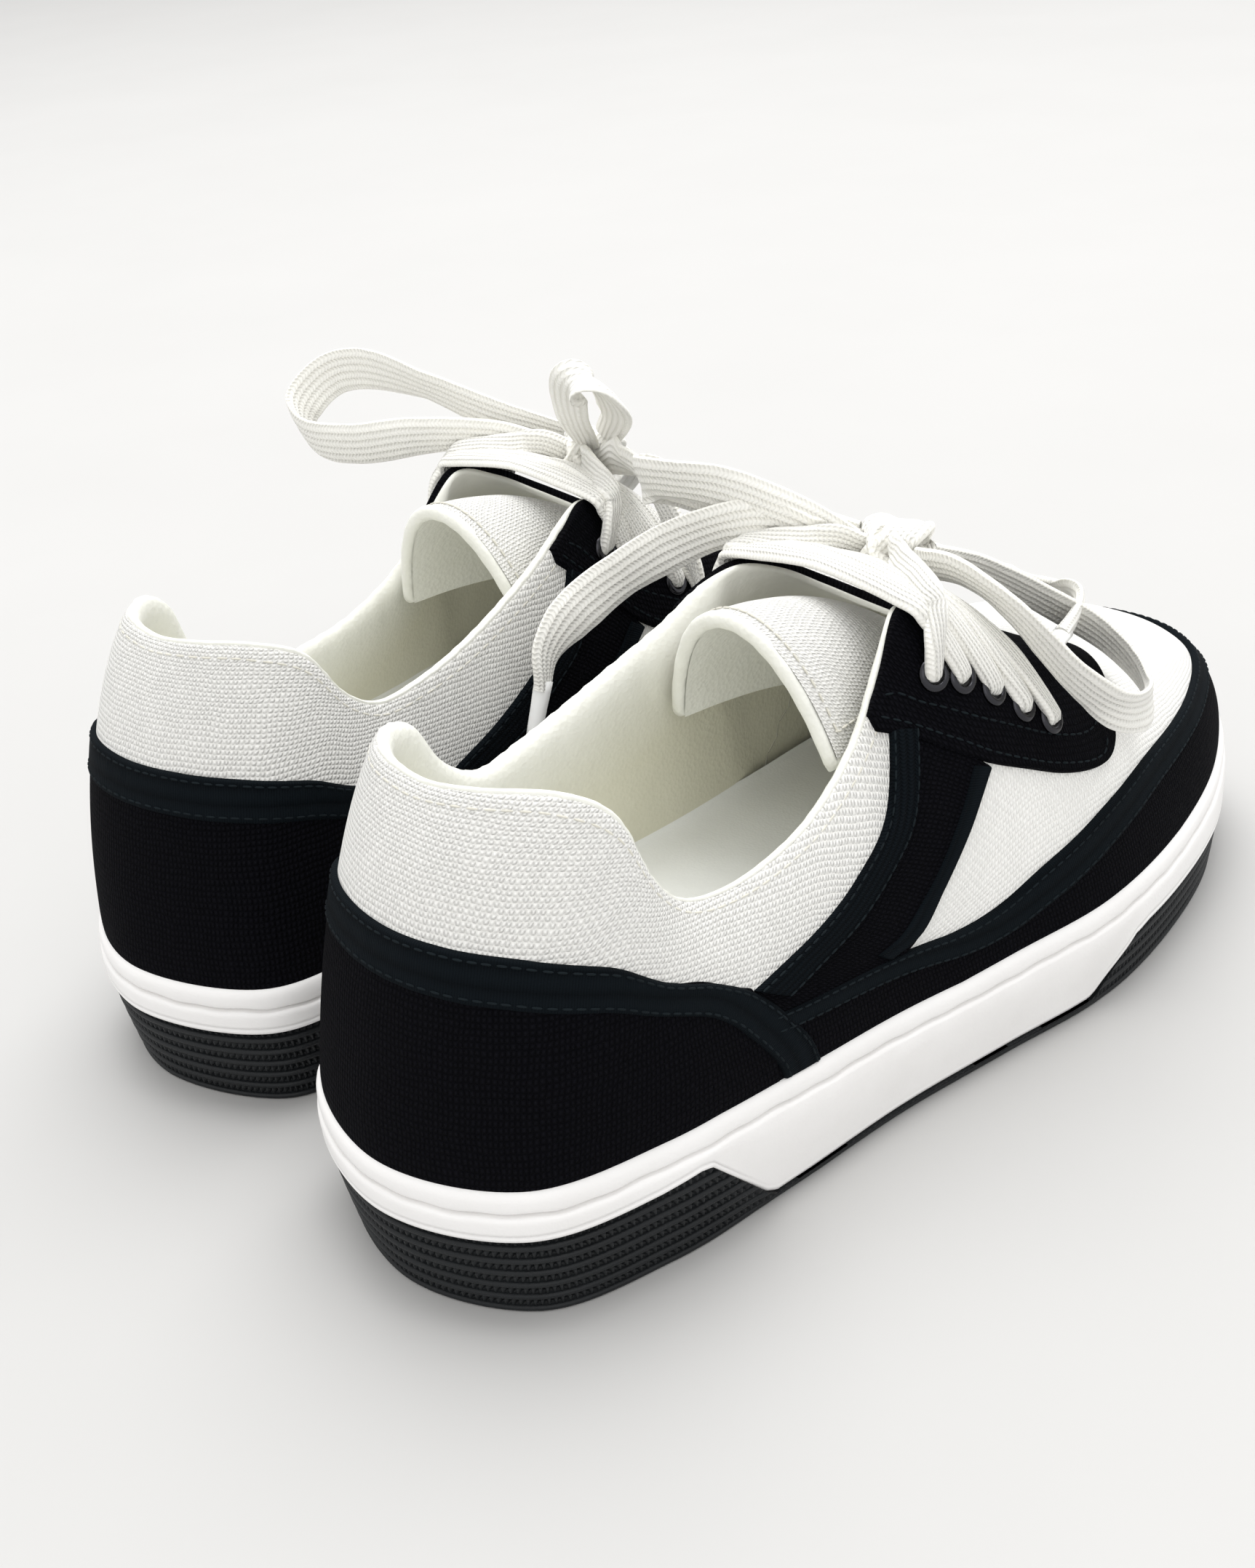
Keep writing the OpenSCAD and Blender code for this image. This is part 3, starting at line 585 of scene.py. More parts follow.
def side_wall(side, tag, rows, material, count, close_bottom=False):
    """A band round the sole: rows(y, arc) gives columns of (inset, z)."""
    k_fine = np.linspace(0, 20, 4001)
    run = lengths(loop_at(OUTLINE, k_fine))
    arc = np.arange(count) / count * run[-1]
    k = np.interp(arc, run, k_fine)
    p = loop_at(OUTLINE, k)
    inset, z = rows(p[:, 1], arc)
    pts = np.empty(inset.shape + (3,))
    pts[..., :2] = p[:, None, :] - inset[..., None] * side_normal(k)[:, None, :]
    pts[..., 2] = z
    n = inset.shape[1]
    verts = pts.reshape(-1, 3)
    faces = grid_faces(count, n, wrap_m=True)
    uv = np.stack([np.repeat(arc, n), pts[..., 2].ravel()], -1)
    if close_bottom:
        centre = len(verts)
        verts = np.concatenate([verts, [[p[:, 0].mean(), p[:, 1].mean(), z[:, -1].mean()]]])
        uv = np.concatenate([uv, [[0, 0]]])
        faces += [(i * n + n - 1, (i + 1) % count * n + n - 1, centre) for i in range(count)]
    return make_object(side, tag, verts, faces, uv, material)


# (inset, height over the foxing's top) of the lip, and (height over the black, inset) below
FOXING_LIP = [(4.6, -3.0), (3.7, -0.7), (3.0, 0.05), (2.2, 0.3), (1.4, 0.05), (0.8, -0.7),
              (0.5, -1.8), (0.42, -3.2), (0.5, -3.9), (0.75, -4.45), (1.2, -4.8), (2.7, -5.0),
              (2.7, -5.25), (0.8, -5.3), (0.3, -5.45), (0.0, -6.2)]
FOXING_FOOT = [(2.6, 0.0), (2.0, 0.02), (1.7, 0.48), (1.4, 0.04), (0.9, 0.05), (0.35, 0.25),
               (0.0, 0.8), (-0.05, 2.0), (-0.05, 5.0)]


def foxing_rows(y, arc):
    top, low, w = foxing_top(y), black_top(y), waist(y)
    sag = 0.16 * np.sin(arc * 0.55) + 0.14 * np.sin(arc * 0.21 + 1.0)
    inset = [np.full_like(y, i) for i, _ in FOXING_LIP]
    z = [top + dz + (sag if -5.6 < dz < -4.3 else 0) for _, dz in FOXING_LIP]
    under_lip = top - 6.2
    for q in (0.25, 0.5, 0.72):
        inset.append(w * (PANEL_IN * q - 1.2 * q * (1 - q)) - 0.05 * (1 - w))
        z.append(under_lip + (low + 2.6 - under_lip) * q)
    for dz, di in FOXING_FOOT:
        groove = 0.2 < di < 0.5 and dz > 1
        inset.append(w * PANEL_IN * (0.95 if dz > 1 else 1.0)
                     + (di * (1 - 0.8 * w) if groove else di))
        z.append(low + dz)
    return np.stack(inset, -1), np.stack(z, -1)


RIBS, RIB_H, ROW_H = 6, 1.62, 1.95
TEETH_STEP = 4
GROOVE = 1.6


def outsole_rows(y, arc):
    """Ribs round the black rubber, with rows of teeth between them."""
    zb = black_top(y)
    under = UNDER_HEEL + (UNDER_TOE - UNDER_HEEL) * np.clip(y / SOLE_LENGTH, 0, 1)
    under = under + waist(y) * 0.4
    tooth = (np.arange(len(y)) % TEETH_STEP < 2).astype(float)
    # (z, depth of the groove, height of the teeth)
    levels, z0 = [], 0.0
    for _ in range(RIBS):
        levels += [(z0 + f * RIB_H, d, 0.0)
                   for f, d in ((0.04, 0.45), (0.2, 0.1), (0.5, 0.0), (0.8, 0.1), (0.96, 0.45))]
        z0 += RIB_H
        levels += [(z0 + f * ROW_H, 1.0, t)
                   for f, t in ((0.02, 0.0), (0.2, 1.0), (0.8, 1.0), (0.98, 0.0))]
        z0 += ROW_H
    inset, z = [np.full_like(y, 4.5) + waist(y) * 2], [zb - 0.02]
    for zl, d, t in levels[::-1]:
        zz = np.minimum(zl, zb - 0.02)
        cut = np.clip(1 - zz / np.maximum(zb, 4.0), 0, 1)
        clear = np.clip((zb - zl) / 0.4, 0, 1)
        groove = (d * GROOVE - t * 1.2 * tooth) * clear * (1 - 0.5 * waist(y))
        inset.append(0.75 + (under - 0.75) * cut ** 1.2 + groove
                     + waist(y) * PANEL_IN * 0.6 * (1 - cut))
        z.append(zz)
    return np.stack(inset + [under + 1.4], -1), np.stack(z + [np.zeros_like(y)], -1)


# -------- edges on the upper, (k, v)
COUNTER_TOP = [(0.4, 0.54), (0.8, 0.53), (1.2, 0.53), (1.6, 0.55), (2, 0.59), (2.4, 0.61),
               (2.8, 0.52)]
MUDGUARD_TOP = [(2.85, 0.35), (3.9, 0.28), (4.8, 0.17), (5.5, 0.18), (6.4, 0.25), (7.1, 0.31),
                (8, 0.35), (9, 0.35), (10, 0.34)]
BAND_REAR = [(2.8, 0.5), (3.15, 0.56), (3.55, 0.61), (4, 0.67), (4.4, 0.73), (4.8, 0.88)]
BAND_FRONT = [(3.02, 0.26), (3.6, 0.26), (4.15, 0.25), (4.6, 0.36), (5, 0.43), (5.4, 0.5)]
EYESTAY_LOW = [(4.7, 0.93), (4.83, 0.84), (4.98, 0.74), (5.17, 0.62), (5.45, 0.49),
               (5.8, 0.41), (6.15, 0.36), (6.45, 0.35), (6.64, 0.39), (6.78, 0.46)]
EYESTAY_HIGH = [(k, 0.985) for k in (4.72, 4.95, 5.15, 5.4, 5.7, 6.2, 6.8, 7.4, 7.9, 8.3)]
COUNTER_OUT = [(3.22, 0.0), (3.17, 0.14), (3.06, 0.28), (2.93, 0.41), (2.74, 0.53), (2.45, 0.6),
               (2.1, 0.6), (1.7, 0.57), (1.3, 0.545), (0.8, 0.54), (0.4, 0.545), (0, 0.55)]
COUNTER_IN = [(2.9, 0.0), (2.87, 0.08), (2.79, 0.18), (2.67, 0.29), (2.53, 0.39), (2.33, 0.455),
              (2.05, 0.47), (1.7, 0.445), (1.3, 0.425), (0.8, 0.42), (0.4, 0.425), (0, 0.43)]
WIDE_FRONT = [(3.07, 0.4), (3.42, 0.46), (3.83, 0.51), (4.27, 0.575), (4.65, 0.64), (5.0, 0.78)]
SLIM_FRONT = [(3.98, 0.27), (4.3, 0.285), (4.6, 0.36), (5, 0.43), (5.4, 0.5)]
SLIM_REAR = [(3.88, 0.33), (4.14, 0.34), (4.44, 0.4), (4.84, 0.47), (5.26, 0.55)]
EYESTAY_SEAM = [(4.9, 0.95), (5.02, 0.89), (5.18, 0.78), (5.5, 0.62), (5.85, 0.53), (6.2, 0.47),
                (6.5, 0.46), (6.8, 0.52)]
EYESTAY_EDGE_SEAM = [(4.78, 0.94), (4.89, 0.86), (5.04, 0.76), (5.22, 0.65), (5.48, 0.52),
                     (5.8, 0.44), (6.2, 0.385), (6.45, 0.38), (6.6, 0.42)]
EYELET_SPOTS = [(5.36, 0.8), (5.56, 0.73), (5.77, 0.66), (5.96, 0.59), (6.15, 0.53)]
# heights over the upper's surface: white canvas, black canvas, ribbon
BASE, OVER, TRIM = 0.8, 1.7, 2.3


def raised(edge, dv):
    return [(k, v + dv) for k, v in edge]


def between(low, high, f):
    """The line at a fraction f of the way from one edge to another."""
    return [(k + (k2 - k) * f, v + (v2 - v) * f) for (k, v), (k2, v2) in zip(low, high)]


def flat(v, first, last, count):
    """An edge at one height."""
    return [(k, v) for k in np.linspace(first, last, count)]


def upper(side):
    """The white canvas, the black overlays, the ribbons and their stitching."""
    def cloth(tag, low, high, top, rim, material, *nodes, **more):
        slot = {"vamp_canvas": "white_canvas", "grosgrain": "ribbon"}.get(material, material)
        fit(side, panel(side, tag, low, high, top, rim, material, **more), slot, *nodes)

    def stitches(tag, line, height, slot="ribbon", thread="black_thread", **more):
        fit(side, seam(side, tag, line, height, thread, **more), slot)

    cloth("vamp_canvas", flat(-0.03, 3.6, 16.4, 14), flat(0.985, 5.1, 14.9, 14), BASE, -0.2,
          "vamp_canvas", "vamp", step=2.2, open_foot=True)
    cloth("collar_canvas", flat(-0.03, -3.7, 3.7, 15), flat(0.985, -5.15, 5.15, 15), BASE, -0.3,
          "white_canvas", "collar", step=1.8, open_foot=True, swell=0.35)
    top = both(MUDGUARD_TOP)
    cloth("mudguard_canvas", [(k, -0.01) for k, _ in top], top, OVER, 0.5, "black_canvas",
          "mudguard", open_foot=True)
    trim = [(min(max(k, 2.9), 17.1), v) for k, v in top]
    cloth("mudguard_trim", raised(trim, -0.095), raised(trim, 0.004), TRIM, 0.6,
          "grosgrain", "mudguard_ribbon", step=1.4, ripple=0.05)
    for tag, dv in (("low", -0.082), ("high", -0.012)):
        stitches("mudguard_seam_" + tag, raised(trim, dv), TRIM + 0.02)
    counter = rear(COUNTER_TOP)
    cloth("heel_counter_canvas", [(k * 1.03, -0.01) for k, _ in counter], counter, OVER, 0.5,
          "black_canvas", "heel_counter", open_foot=True, swell=0.3)
    outer, inner = ([(-k, v) for k, v in edge] + edge[:-1][::-1]
                    for edge in (COUNTER_OUT, COUNTER_IN))
    cloth("counter_trim", inner, outer, TRIM + 0.1, 0.6, "grosgrain", "counter_ribbon", step=1.4,
          ripple=0.06)
    for tag, f in (("low", 0.14), ("high", 0.86)):
        stitches("counter_seam_" + tag, between(inner, outer, f), TRIM + 0.12)
    for name, flip in (("lateral", list), ("medial", medial)):
        cloth("band_canvas_" + name, flip(BAND_FRONT), flip(BAND_REAR), OVER, 0.5,
              "black_canvas", "band_" + name)
        cloth("band_wide_trim_" + name, flip(WIDE_FRONT), flip(BAND_REAR), TRIM + 0.2, 0.6,
              "ribbon", *(["band_ribbons"] if name == "lateral" else []), step=1.2, swell=0.2)
        cloth("band_slim_trim_" + name, flip(SLIM_FRONT), flip(SLIM_REAR), TRIM, 0.6, "grosgrain",
              step=1.2)
        cloth("eyestay_canvas_" + name, flip(EYESTAY_LOW), flip(EYESTAY_HIGH), OVER + 0.6, 0.3,
              "black_canvas", "eyestay_" + name)
        for tag, line in (("seam", EYESTAY_SEAM), ("edge_seam", EYESTAY_EDGE_SEAM)):
            stitches(f"eyestay_{tag}_{name}", flip(line), OVER + 0.62, "black_canvas")
        for tag, f in (("a", 0.1), ("b", 0.9)):
            stitches(f"band_seam_{tag}_{name}", between(flip(WIDE_FRONT), flip(BAND_REAR), f),
                     TRIM + 0.35)
    stitches("topline_seam", flat(0.925, -4.95, 4.95, 30), BASE + 0.28, "white_canvas",
             "white_thread", pitch=3.2, length=2.3)


# the lining's (v, depth) section, up the wall and over the roll, and thin beside the laces
LINING_ROLL = np.array([
    (0.04, -3.0), (0.15, -3.1), (0.3, -3.2), (0.5, -3.3), (0.65, -3.7), (0.78, -4.2), (0.88, -4.1),
    (0.94, -3.7), (0.972, -3.0), (0.99, -2.2), (1.0, -1.4), (1.004, -0.6), (1.003, 0.1),
    (0.999, 0.55), (0.99, 0.8), (0.981, 0.5)])
LINING_THIN = np.array([(v, -1.2) for v, _ in LINING_ROLL[:8]] + [
    (0.975, -1.2), (0.985, -1.15), (0.99, -0.9), (0.992, -0.6), (0.992, -0.3), (0.99, 0.0),
    (0.988, 0.2), (0.985, 0.3)])


def lining_section(ks):
    blend = np.clip((np.abs(ks) - 4.95) / 0.5, 0, 1)[:, None]
    blend = blend * blend * (3 - 2 * blend)
    vv, dd = (a * (1 - blend) + b * blend for a, b in zip(LINING_ROLL.T, LINING_THIN.T))
    pucker = (0.1 * np.sin(ks * 31) + 0.07 * np.sin(ks * 53 + 1)) * (np.abs(ks) < 5)
    return vv, dd + pucker[:, None] * np.clip((vv - 0.8) * 6, 0, 1) * (1 - blend)


def lining(side):
    """White leather, with painted shade deeper inside: up the inside, rolled over the topline,
    thin along the throat.
    """
    ks = np.linspace(-8.3, 8.3, 420)
    vv, dd = lining_section(ks)
    pts = skin(ks[:, None], vv, dd)
    across = lengths(pts.transpose(1, 0, 2)).T
    # the second UV coordinate runs down from the roll; the lining's painted shade deepens along it
    uv = np.stack([lengths(pts)[:, [8]] + 0 * across, np.maximum(across[:, [9]] - across, 0)], -1)
    leather = sheet(side, "lining_leather", pts, uv, "lining_leather")
    fit(side, leather, "white_leather", "lining_lateral", "lining_medial", "topline_binding",
        "collar_foam")
    # the zigzag seam that joins the medial lining's two pieces, its thread darkened as painted
    # shade of the seam's crease
    vs = np.linspace(0.06, 0.88, 23)
    zigzag = -5.2 - 2.86 * (vs - 0.1) + 0.03 * (-1.0) ** np.arange(len(vs))
    depth = np.array([np.interp(v, a[:8], b[:8]) for v, a, b in zip(vs, *lining_section(zigzag))])
    p = skin(zigzag, vs, depth - 0.1)
    ways = p[1:] - p[:-1]
    size = np.linalg.norm(ways, axis=-1)[:, None]
    fit(side, capsules(side, "lining_zigzag", (p[1:] + p[:-1]) / 2, ways / size,
                       -normal_at(zigzag, vs)[1:], size.mean() + 0.4, 0.65, 0.35,
                       "lining_thread"), "white_leather")


def footbed(side):
    """The footbed's face, running up to the lining all round."""
    ks = np.linspace(0, 20, 240, endpoint=False)
    from_heel = np.abs(((ks + 10) % 20) - 10)
    want = np.interp(from_heel, [0, 5, 7, 8.5, 10], [46.5, 46, 43, 38, 36])
    lo, hi = np.zeros_like(ks), np.full_like(ks, 0.6)
    for _ in range(30):
        mid = (lo + hi) / 2
        z = skin(ks, mid, np.full_like(ks, -3.1))[:, 2]
        lo = np.where(z < want, mid, lo)
        hi = np.where(z < want, hi, mid)
    edge = skin(ks, lo, np.where(from_heel > 7.6, -2.4, -3.15))[:, None]
    spine = np.stack([0 * edge[..., 0] - 1, np.clip(edge[..., 1], 34, 238)], -1)
    rings = np.array([1.0, 0.985, 0.95, 0.88, 0.75, 0.55, 0.3, 0.0])[:, None]
    drop = np.array([0.6, 0.0, -0.5, -0.9, -1.3, -1.5, -1.6, -1.6])
    plan = spine + (edge[..., :2] - spine) * rings
    pts = np.concatenate([plan, (edge[..., 2] + drop * 1.2)[..., None]], -1)
    fit(side, sheet(side, "footbed_face", pts, plan, "footbed", flip=True, wrap=True),
        "white_leather", "footbed")


# -------- tongue
TONGUE_ROWS = np.array([
    (201, 61.5, 14, 3), (192, 67, 16, 7), (180, 76, 18, 12), (166, 86.5, 19, 17),
    (152, 96.5, 19.5, 21), (138, 103.5, 19.5, 24), (124, 107.5, 20, 26),
    (111, 109.5, 20.5, 27)], float)
TIP_BOW = 5.0
# the tongue's cloth where it is sewn in under the throat, in front of the fold
ROOT_ROWS = np.array([
    (216, 63.6, 12, 3), (209, 63.8, 13, 3), (204, 62.7, 14, 3), (199, 61.9, 15, 3.5)], float)


def tongue_at(a, s, d):
    a, s = np.broadcast_arrays(np.asarray(a, float), np.asarray(s, float))
    row = line_at(TONGUE_ROWS, s)
    t = np.radians(88) * a
    d = np.asarray(d, float)
    flare = s ** 3 * np.abs(a) ** 3
    return np.stack([(row[..., 2] + d) * np.sin(t) + 4.0 * flare * np.sign(a),
                     row[..., 0] + TIP_BOW * s * s * (1 - np.cos(t)),
                     row[..., 1] + d - row[..., 3] * (1 - np.cos(t)) - 3.0 * flare], -1)


def tongue(side):
    aa = np.linspace(-1, 1, 61)[None, :]
    ss = np.linspace(0, 1, 61)[:, None]
    outer = tongue_at(aa, ss, 0.0)
    across = lengths(outer.transpose(1, 0, 2)).T
    uv = np.stack([across, lengths(outer)[:, [30]] + 0 * across], -1)
    fit(side, sheet(side, "tongue_canvas", outer, uv, "white_canvas", flip=True),
        "white_canvas", "tongue", body="tongue_flap")
    row = line_at(ROOT_ROWS, np.linspace(0, 1, 13))[:, None, :]
    t = np.radians(88) * np.linspace(-1, 1, 31)[None, :]
    root = np.stack([row[..., 2] * np.sin(t), row[..., 0] + 0 * t,
                     row[..., 1] - row[..., 3] * (1 - np.cos(t))], -1)
    fit(side, sheet(side, "tongue_root", root, root[..., :2], "white_canvas", flip=True),
        "white_canvas")
    inner = tongue_at(aa, ss, -3.4 - 0.5 * np.sin(np.pi * ss) * np.cos(aa * 1.4))
    pad = sheet(side, "tongue_pad", inner, uv, "white_leather")
    fit(side, pad, "white_leather", "tongue_lining", body="tongue_flap")
    # the rolled binding: a round edge from canvas over to lining, along the sides and the top
    path_a = np.concatenate([np.full(40, -1.0), np.linspace(-1, 1, 81)[1:-1], np.full(40, 1.0)])
    path_s = np.concatenate([np.linspace(0.45, 1, 40), np.full(79, 1.0), np.linspace(1, 0.45, 40)])
    centre = tongue_at(path_a, path_s, -1.7)
    radial = unit(tongue_at(path_a, path_s, 0.5) - tongue_at(path_a, path_s, -0.5))
    outward = unit(np.cross(unit(np.gradient(centre, axis=0)), radial))
    inside = tongue_at(path_a * 0.9, np.minimum(path_s, 0.93), -1.7) - centre
    outward = outward * np.where((outward * inside).sum(-1) > 0, -1.0, 1.0)[:, None]
    reach = 1.35 * pi / 2 + 0.5
    wobble = 1 + 0.03 * np.sin(np.arange(len(centre)) * 0.9)
    ring = np.stack([centre + outward * (cos(t) * 1.6 * wobble)[:, None]
                     + radial * (sin(t) * 1.95 * wobble)[:, None]
                     for t in np.linspace(-reach, reach, 15)], 1)
    uv = np.stack([lengths(ring)[:, [7]] + 0 * ring[..., 0],
                   lengths(ring.transpose(1, 0, 2)).T], -1)
    fit(side, sheet(side, "tongue_binding", ring, uv, "white_leather"), "white_leather",
        body="tongue_flap")
    # stitches just inside the binding
    ta = np.concatenate([np.full(14, -0.9), np.linspace(-0.88, 0.88, 24), np.full(14, 0.9)])
    ts = np.concatenate([np.linspace(0.55, 0.96, 14), np.full(24, 0.965),
                         np.linspace(0.96, 0.55, 14)])
    p = tongue_at(ta, ts, 0.25)
    fit(side, capsules(side, "tongue_stitches", p, unit(np.gradient(p, axis=0)),
                       unit(tongue_at(ta, ts, 1.0) - p), 2.3, 0.6, 0.5, "white_thread"),
        "white_canvas", body="tongue_flap")


# -------- eyelets
EYELET_SECTION = [(1.9, -1.2), (1.95, 0.0), (2.15, 0.5), (2.6, 0.8), (3.2, 0.7), (3.75, 0.35),
                  (3.9, -0.15), (3.5, -0.4)]
EYELET_TURNS, THROAT_TURNS = 36, 18


def eyelets(side):
    """Gunmetal eyelets: a rolled flange round each hole, and a flat dark disc of painted shade in
    its throat.
    """
    verts, faces, uvs, shade_verts, shade_faces = [], [], [], [], []
    for k0, v in EYELET_SPOTS:
        for k in (k0, 20 - k0):
            c = skin(k, v, OVER + 0.6)
            n = normal_at(k, v)
            t = unit(surf(k + 0.1, v) - surf(k - 0.1, v))
            b = np.cross(n, t)

            def ring(radius, height, count):
                return [c + radius * (cos(q) * t + sin(q) * b) + height * n for q in turns(count)]

            faces += grid_faces(len(EYELET_SECTION), EYELET_TURNS, wrap_n=True, start=len(verts))
            for radius, height in EYELET_SECTION:
                verts += ring(radius, height, EYELET_TURNS)
                uvs += [(radius, q) for q in turns(EYELET_TURNS)]
            # a dark disc of painted shade closing the hole round the lace
            shade_faces.append(tuple(len(shade_verts) + i for i in range(THROAT_TURNS)))
            shade_verts += ring(2.0, 0.08, THROAT_TURNS)
    fit(side, make_object(side, "eyelet_rings", verts, faces, uvs, "gunmetal"),
        "gunmetal", "eyelets")
    fit(side, make_object(side, "eyelet_hole_shade", shade_verts, shade_faces, None, "dark"),
        "gunmetal")


# -------- laces
LACE_W, LACE_T = 12.0, 2.2
LACE_RIBS, HALF_SECTION = 6, 15
CORD_STEP = 0.9


def spaced(points, count):
    """Values of s that step evenly along a curve through points, and its length."""
    s_fine = np.linspace(0, 1, 400)
    run = lengths(line_at(points, s_fine))
    return np.interp(np.linspace(0, run[-1], count), run, s_fine), run[-1]


def lace_mesh(side, tag, route, widths, thick, count, seed):
    """A flat ribbed lace swept along rows of (point, direction of its width)."""
    points, wide = ([row[i] for row in route] for i in (0, 1))
    s, length = spaced(points, count)
    p = line_at(points, s)
    d = unit(np.gradient(p, axis=0))
    w = line_at(wide, s)
    w = unit(w - (w * d).sum(-1)[:, None] * d)
    b = np.cross(d, w)
    width = np.interp(s, np.linspace(0, 1, len(widths)), widths)
    x = np.sin(np.linspace(-pi / 2, pi / 2, HALF_SECTION))
    hump = 0.86 + 0.14 * np.abs(np.cos(np.pi * LACE_RIBS * x / 2))
    z = (1 - np.abs(x) ** 4) ** 0.5 * hump
    prof_x = np.concatenate([x, x[-2:0:-1]])
    prof_z = np.concatenate([z, -z[-2:0:-1]])
    local = np.random.default_rng(seed)
    even = np.linspace(0, 1, count)
    twist = np.interp(even, np.linspace(0, 1, 9), local.normal(0, 0.18, 9))
    cup = np.interp(even, np.linspace(0, 1, 7), local.normal(0.3, 0.5, 7))
    w2 = w * np.cos(twist)[:, None] + b * np.sin(twist)[:, None]
    b2 = np.cross(d, w2)
    height = thick / 2 * (1 + 0.9 * (1 - np.clip(width / LACE_W, 0.35, 1)))
    ring = (p[:, None] + w2[:, None] * (prof_x[None, :, None] * width[:, None, None] / 2)
            + b2[:, None] * (prof_z[None, :, None] * height[:, None, None]
                             + cup[:, None, None] * (prof_x ** 2 - 0.4)[None, :, None]))
    m, n = ring.shape[:2]
    faces = turned_over(grid_faces(m, n, wrap_n=True))
    faces.append(tuple(range(n)))
    faces.append(tuple((m - 1) * n + j for j in range(n - 1, -1, -1)))
    uv = np.stack([np.repeat(np.linspace(0, length, count), n),
                   np.tile(prof_x * LACE_W / 2 + LACE_W / 2, m)], -1)
    return fit(side, make_object(side, tag, ring.reshape(-1, 3), faces, uv, "lace"), "lace")


def facing(way, *points):
    """Rows of (point, direction of the lace's width), with one direction for all."""
    return [(p, way) for p in points]


UP = (0, -0.3, 1)
OUT = (0.4, -0.3, 0.9)
FLAT = (1, 0.2, 0)
ROUTES = {
    "right_loop_a": facing(
        UP, (-8.5, 161, 107), (-18, 153, 114), (-34, 145, 120), (-48, 140, 121), (-56, 142, 119),
        (-54, 147, 117), (-42, 150, 115), (-26, 156, 112), (-9, 164, 108)),
    "right_loop_b": facing(
        OUT, (8.5, 166, 106), (14, 180, 99), (23, 192, 89), (33, 200, 80), (43, 200, 73),
        (50, 193, 70), (52, 179, 75), (47, 168, 86), (35, 163, 100), (22, 162, 106),
        (9, 163, 105)),
    "right_tail_a": facing(
        UP, (-8.5, 162, 106), (-20, 153, 112), (-34, 143, 111), (-47, 132, 104), (-55, 120, 96),
        (-59, 110, 87), (-59, 106, 77)),
    "right_tail_b": [
        ((3, 171, 106), FLAT), ((3, 178, 101), FLAT), ((4, 187, 95), FLAT),
        ((7, 197, 89), (1, -0.3, 0.3)), ((13, 206, 86), (0.5, -0.7, 0.6)),
        ((20, 206, 85), (0.0, -0.5, 0.9)), ((26, 199, 85), (0.3, 0, 0.9)),
        ((30, 191, 85.5), (0.4, 0.1, 0.8)), ((33, 183, 86), (0.4, 0.1, 0.8))],
    "left_loop_a": facing(
        UP, (8.5, 164, 111), (24, 154, 117), (44, 148, 124), (62, 144, 127), (73, 139, 125),
        (76, 130, 118), (68, 126, 112), (54, 130, 111), (38, 139, 113), (22, 152, 112),
        (9, 160, 108)),
    "left_loop_b": facing(
        FLAT, (-3, 161, 111.5), (-8, 153, 120), (-14, 146, 129), (-20, 142, 135), (-26, 144, 135),
        (-24, 151, 128), (-16, 159, 120), (-6, 166, 112)),
    "left_tail_a": facing(
        UP, (-8.5, 162, 107), (-20, 156, 112), (-33, 151, 111), (-44, 148, 103), (-51, 147, 93),
        (-53, 148, 82), (-53, 149, 73), (-52, 150, 66)),
    "left_tail_b": facing(
        FLAT, (3, 171, 106), (8, 183, 102), (17, 195, 93), (28, 203, 84), (38, 206, 77),
        (46, 204, 71), (53, 199, 67)),
}


def aglet(side, tag, route):
    """A rolled film tip round the pinched end of the lace."""
    last = np.array(route[-1][0], float)
    way = unit(last - np.array(route[-2][0], float))
    side_way = unit(np.cross(way, [0.1, 0.2, 1.0]))
    other = np.cross(way, side_way)
    shape = [(-2.6, 1.2), (-2.5, 2.0), (0, 1.95), (4, 1.8), (9, 1.7), (11.6, 1.6), (12, 1.3),
             (12, 0.0)]
    verts = [last + way * h + rr * (cos(q) * side_way * 1.15 + sin(q) * other * 0.8)
             for h, rr in shape for q in turns(20)]
    return make_object(side, tag, verts, grid_faces(len(shape), 20, wrap_n=True),
                       [(0, 0)] * len(verts), "aglet")


def cords(side):
    """The bow's loops and the lace's free ends."""
    for i, tag in enumerate(("loop_a", "loop_b", "tail_a", "tail_b")):
        route = ROUTES[f"{side}_{tag}"]
        points = [p for p, _ in route]
        s, length = spaced(points, 24)
        tail = "tail" in tag
        seed = 11 + i + (0 if side == "right" else 50)
        obj = lace_mesh(side, tag + "_lace", route, [8, LACE_W, LACE_W, LACE_W, 4 if tail else 8],
                        LACE_T, int(length / CORD_STEP), seed)
        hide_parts(f"{side}_{tag}")
        if tail:
            tip = aglet(side, tag + "_aglet", route)
            fit(side, tip, "aglet", *(["aglets"] if tag == "tail_a" else []))


TOP_LEAN, TOP_LIFT = 0.32, 2.2  # the first pair leans forward to the knot, over the second
TOP_WIDTHS = [3.5, 4.4, 5, 5.6, 6.5, 7, 7]
ROW_WIDTHS = [3.5, 4.5, 5.5, 6.2, 6.4, 6.4, 6.4, 6.4, 6.4, 6.2, 5.5, 4.5, 3.5]
KNOT = np.array([0.0, 166.0, 106.0])
# the knot's wraps: radii, tilt, width
WRAPS = ((1.0, 5.2, 5.2, 0.15, 10.5), (4.0, 5.8, 4.4, 0.9, 8.0), (4.0, 5.8, 4.4, -0.9, 8.0))


